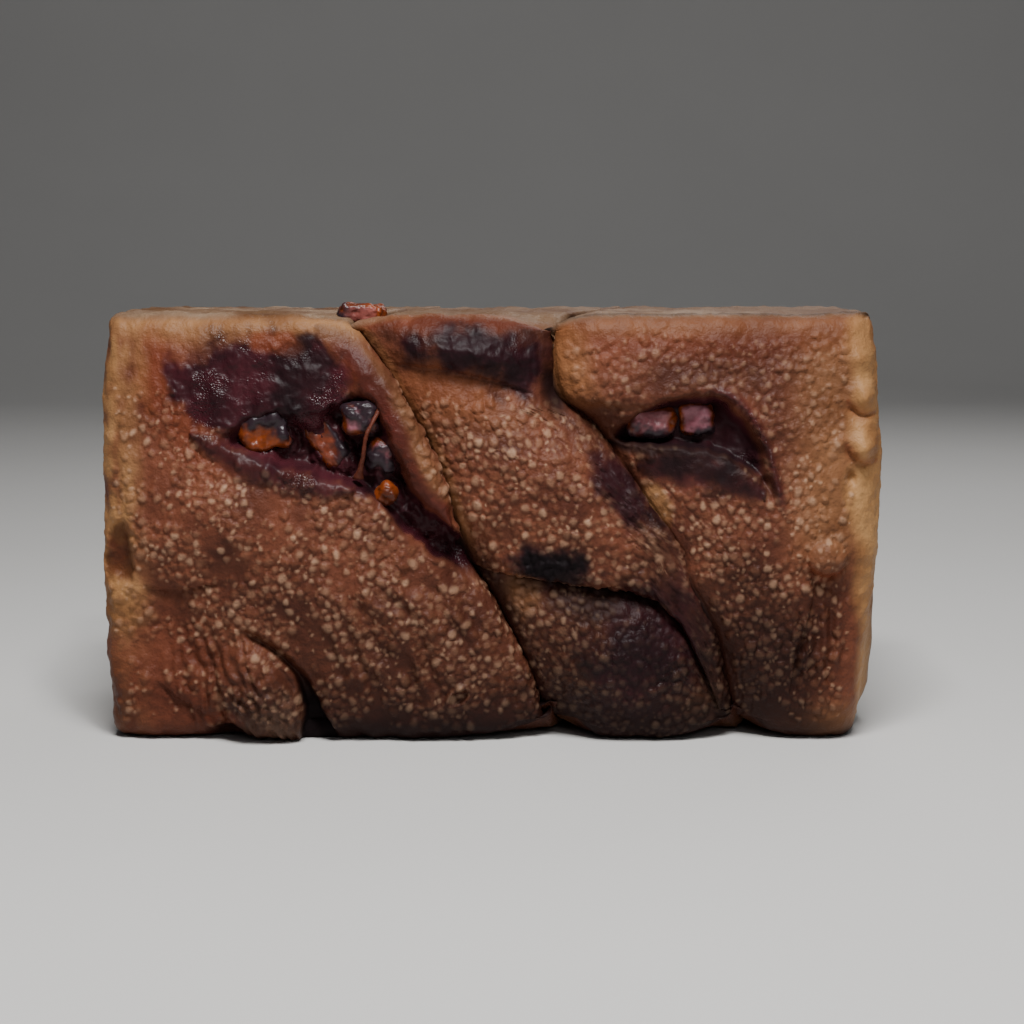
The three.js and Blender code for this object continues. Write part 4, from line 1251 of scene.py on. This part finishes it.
def blotches_group():
    """Soft blotches, dark at 0 and light at 1. low and high are the noise's values that become 0 and 1."""
    inputs = dict.fromkeys(("scale", "detail", "roughness", "low", "high"), "NodeSocketFloat")
    n, given = new_group("blotches", inputs, {"lightness": "NodeSocketFloat"})
    settings = {"Scale": given["scale"], "Detail": given["detail"], "Roughness": given["roughness"]}
    lumps = n.add("ShaderNodeTexNoise", {"Vector": n.place(), **settings}).outputs["Fac"]
    n.add("NodeGroupOutput", {"lightness": n.remap(lumps, given["low"], given["high"])})
    return n.tree


def charring_and_shading_group():
    """Darkens a colour wherever the piece's char mask says so: char on the paste, and char with painted shade
    on the crust.
    """
    inputs = dict.fromkeys(("colour", "char and shade colour"), "NodeSocketColor")
    n, given = new_group("charring_and_shading", inputs, {"colour": "NodeSocketColor"})
    n.add("NodeGroupOutput", {"colour": n.mix(n.attribute("char"), given["colour"], given["char and shade colour"])})
    return n.tree


BLOTCHES = blotches_group()
CHARRING_AND_SHADING = charring_and_shading_group()


def new_material(name):
    material = bpy.data.materials.new(name)
    material.use_nodes = True
    return material, Nodes(material.node_tree), material.node_tree.nodes["Principled BSDF"]


def crust_material():
    """Crust in layers: brown dough, pale tin walls, toast that also paints shade, blisters, stains, syrup,
    flour, and char that also paints shade.
    """
    material, n, shader = new_material("blistered_crust")
    names = ("blister", "frost", "bubbly", "syrup", "char", "pale", "toast", "flour", "stain")
    masks = {name: n.attribute(name) for name in names}
    broad = n.blotches(60.0, 5.0, 0.35, 0.65)
    cells = n.add("ShaderNodeTexVoronoi", {"Vector": n.place(), "Scale": 640.0}).outputs
    small = n.times(n.remap(cells["Distance"], 0.12, 0.48, 1.0, 0.0), masks["bubbly"])
    tone = n.add("ShaderNodeSeparateColor", {"Color": cells["Color"]}).outputs["Red"]

    colour = n.mix(broad, *BROWN_CRUST)
    for mask, strength, layer in (
        (n.blotches(900.0, 3.0, 0.3, 0.7), 0.3, CRUST_SHADE),
        (masks["pale"], 0.85, n.mix(broad, *TIN_CRUST)),
        (masks["toast"], 0.75, TOASTED_AND_SHADED),
        (small, 0.1, n.mix(tone, *SPECK)),
        (masks["blister"], 0.64, n.mix(masks["frost"], *BLISTER)),
        # a second coat of toast and painted shade, which also darkens the blisters low down
        (masks["toast"], 0.52, TOASTED_AND_SHADED),
        (masks["stain"], 0.7, STAINED),
        (masks["syrup"], 0.94, n.mix(broad, *SYRUP)),
        (n.times(masks["flour"], n.blotches(34.0, 8.0, 0.4, 0.66, roughness=0.62)), 0.7, FLOUR),
    ):
        colour = n.mix(n.times(mask, strength), colour, layer)

    # the syrup is wet in spots, and less so where it is charred
    sparkling = n.times(masks["syrup"], n.blotches(90.0, 2.0, 0.48, 0.6))
    sparkling = n.times(sparkling, n.remap(masks["char"], 0, 1, 1.0, 0.2))
    wet = n.math("MAXIMUM", n.times(masks["syrup"], 0.3), sparkling)
    dull = n.times(n.times(masks["char"], masks["char"]), 0.3)

    # fine skin, smoother where it is burnt, sticky spots and tiny blisters
    burnt = n.math("MAXIMUM", masks["syrup"], masks["char"])
    skin = n.plus(n.times(n.blotches(1400.0, 2.0), 0.25), n.times(n.blotches(420.0, 3.0), 0.4))
    skin = n.times(skin, n.remap(burnt, 0, 1, 1.0, 0.25))
    sticky = n.times(n.times(n.blotches(1900.0, 0.0), sparkling), 0.4)
    height = n.plus(n.plus(skin, sticky), n.times(small, 0.12))
    n.fill(shader, {
        "Base Color": n.charring_and_shading(colour, BURNT_AND_SHADED_CRUST),
        "Roughness": n.plus(n.remap(wet, 0, 1, 0.48, 0.16), dull),
        "Normal": n.bump(height, 0.001, 0.9),
        "Specular IOR Level": 0.13,
    })
    return material


def guava_material():
    """Amber paste with a pale bloom on its faces and charred sides."""
    material, n, shader = new_material("guava_paste")
    broad = n.blotches(150.0, 4.0, 0.35, 0.65)
    paste = n.mix(broad, *GUAVA_PASTE)
    paste = n.mix(n.times(n.attribute("bloom"), 0.8), paste, n.mix(broad, *BLOOM))
    n.fill(shader, {
        "Base Color": n.charring_and_shading(paste, BURNT_GUAVA),
        "Roughness": 0.36,
        "Normal": n.bump(n.blotches(500.0, 2.0), 0.0006, 0.5),
        "Specular IOR Level": 0.3,
    })
    return material


def floor_material():
    material, n, shader = new_material("pale_floor")
    n.fill(shader, {"Base Color": n.mix(n.blotches(4.0, 3.0), *FLOOR), "Roughness": 0.7})
    return material


# The loaf and its guava

CRUST = crust_material()
PASTE = guava_material()

for strand in [*map(dough_strand, STRANDS), dough_string()]:
    strand.data.materials.append(CRUST)
    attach(strand, "root")
    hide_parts("loaf")

for node, guava in GUAVA.items():
    piece = guava_piece(node, guava)
    piece.data.materials.append(PASTE)
    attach(piece, "root")
    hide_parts(node)


# Stage, lights and camera, in metres

FLOOR_FRONT = -3.0
FLOOR_BEND = 1.2
FLOOR_BEND_RADIUS = 0.8
FLOOR_HALF_WIDTH = 4.0
BACKDROP_HEIGHT = 3.0

# Where each light is, what it points at, its two sides, and its power in watts
LIGHTS = {
    "overhead": ((0.0, -0.4, 0.85), (0, -0.06, 0.06), (0.3, 0.2), 11.0),
    "sparkle": ((0.15, -0.62, 0.8), (0, -0.06, 0.06), (0.08, 0.08), 2.4),
    "front": ((0.3, -1.0, 0.5), (0, 0, 0.06), (0.3, 0.25), 0.55),
    "back": ((0.3, 0.7, 0.7), (0, 0, 0.08), (0.6, 0.4), 2.0),
}
ROOM_LIGHT = {"Color": (0.9, 0.93, 1.0, 1), "Strength": 0.06}

CAMERA_LENS = 79.8
CAMERA_PLACE = (0.0056, LOAF_LOW.y - 0.65, 0.154)
CAMERA_LOOKS_DOWN = math.radians(7.4)


def make_floor():
    """A pale sweep: flat under the loaf, curved up far behind it."""
    profile = [(FLOOR_FRONT, 0.0), (FLOOR_BEND, 0.0)]
    for turn in np.radians(np.linspace(0, 90, 13)[1:]):
        bend_y, bend_z = FLOOR_BEND_RADIUS * np.sin(turn), FLOOR_BEND_RADIUS * (1 - np.cos(turn))
        profile.append((FLOOR_BEND + bend_y, bend_z))
    profile.append((FLOOR_BEND + FLOOR_BEND_RADIUS, BACKDROP_HEIGHT))
    verts = [(side, y, z) for y, z in profile for side in (-FLOOR_HALF_WIDTH, FLOOR_HALF_WIDTH)]
    faces = [(2 * i, 2 * i + 1, 2 * i + 3, 2 * i + 2) for i in range(len(profile) - 1)]
    floor = new_piece("floor", np.array(verts), faces, {})
    floor.data.materials.append(floor_material())


def soft_light(name, place, target, size, watts):
    data = bpy.data.lights.new(name, "AREA")
    data.shape = "RECTANGLE"
    data.size, data.size_y = size
    data.energy = watts
    light = bpy.data.objects.new(name, data)
    light.location = place
    light.rotation_euler = (Vector(target) - Vector(place)).to_track_quat("-Z", "Y").to_euler()
    bpy.context.scene.collection.objects.link(light)


def room_light():
    """A faint light from all sides."""
    world = bpy.data.worlds.new("studio")
    world.use_nodes = True
    Nodes(world.node_tree).fill(world.node_tree.nodes["Background"], ROOM_LIGHT)
    bpy.context.scene.world = world


def make_camera():
    data = bpy.data.cameras.new("camera")
    data.lens = CAMERA_LENS
    camera = bpy.data.objects.new("camera", data)
    camera.location = CAMERA_PLACE
    camera.rotation_euler = (math.radians(90) - CAMERA_LOOKS_DOWN, 0, 0)
    bpy.context.scene.collection.objects.link(camera)
    bpy.context.scene.camera = camera


make_floor()
for name, setting in LIGHTS.items():
    soft_light(name, *setting)
room_light()
make_camera()
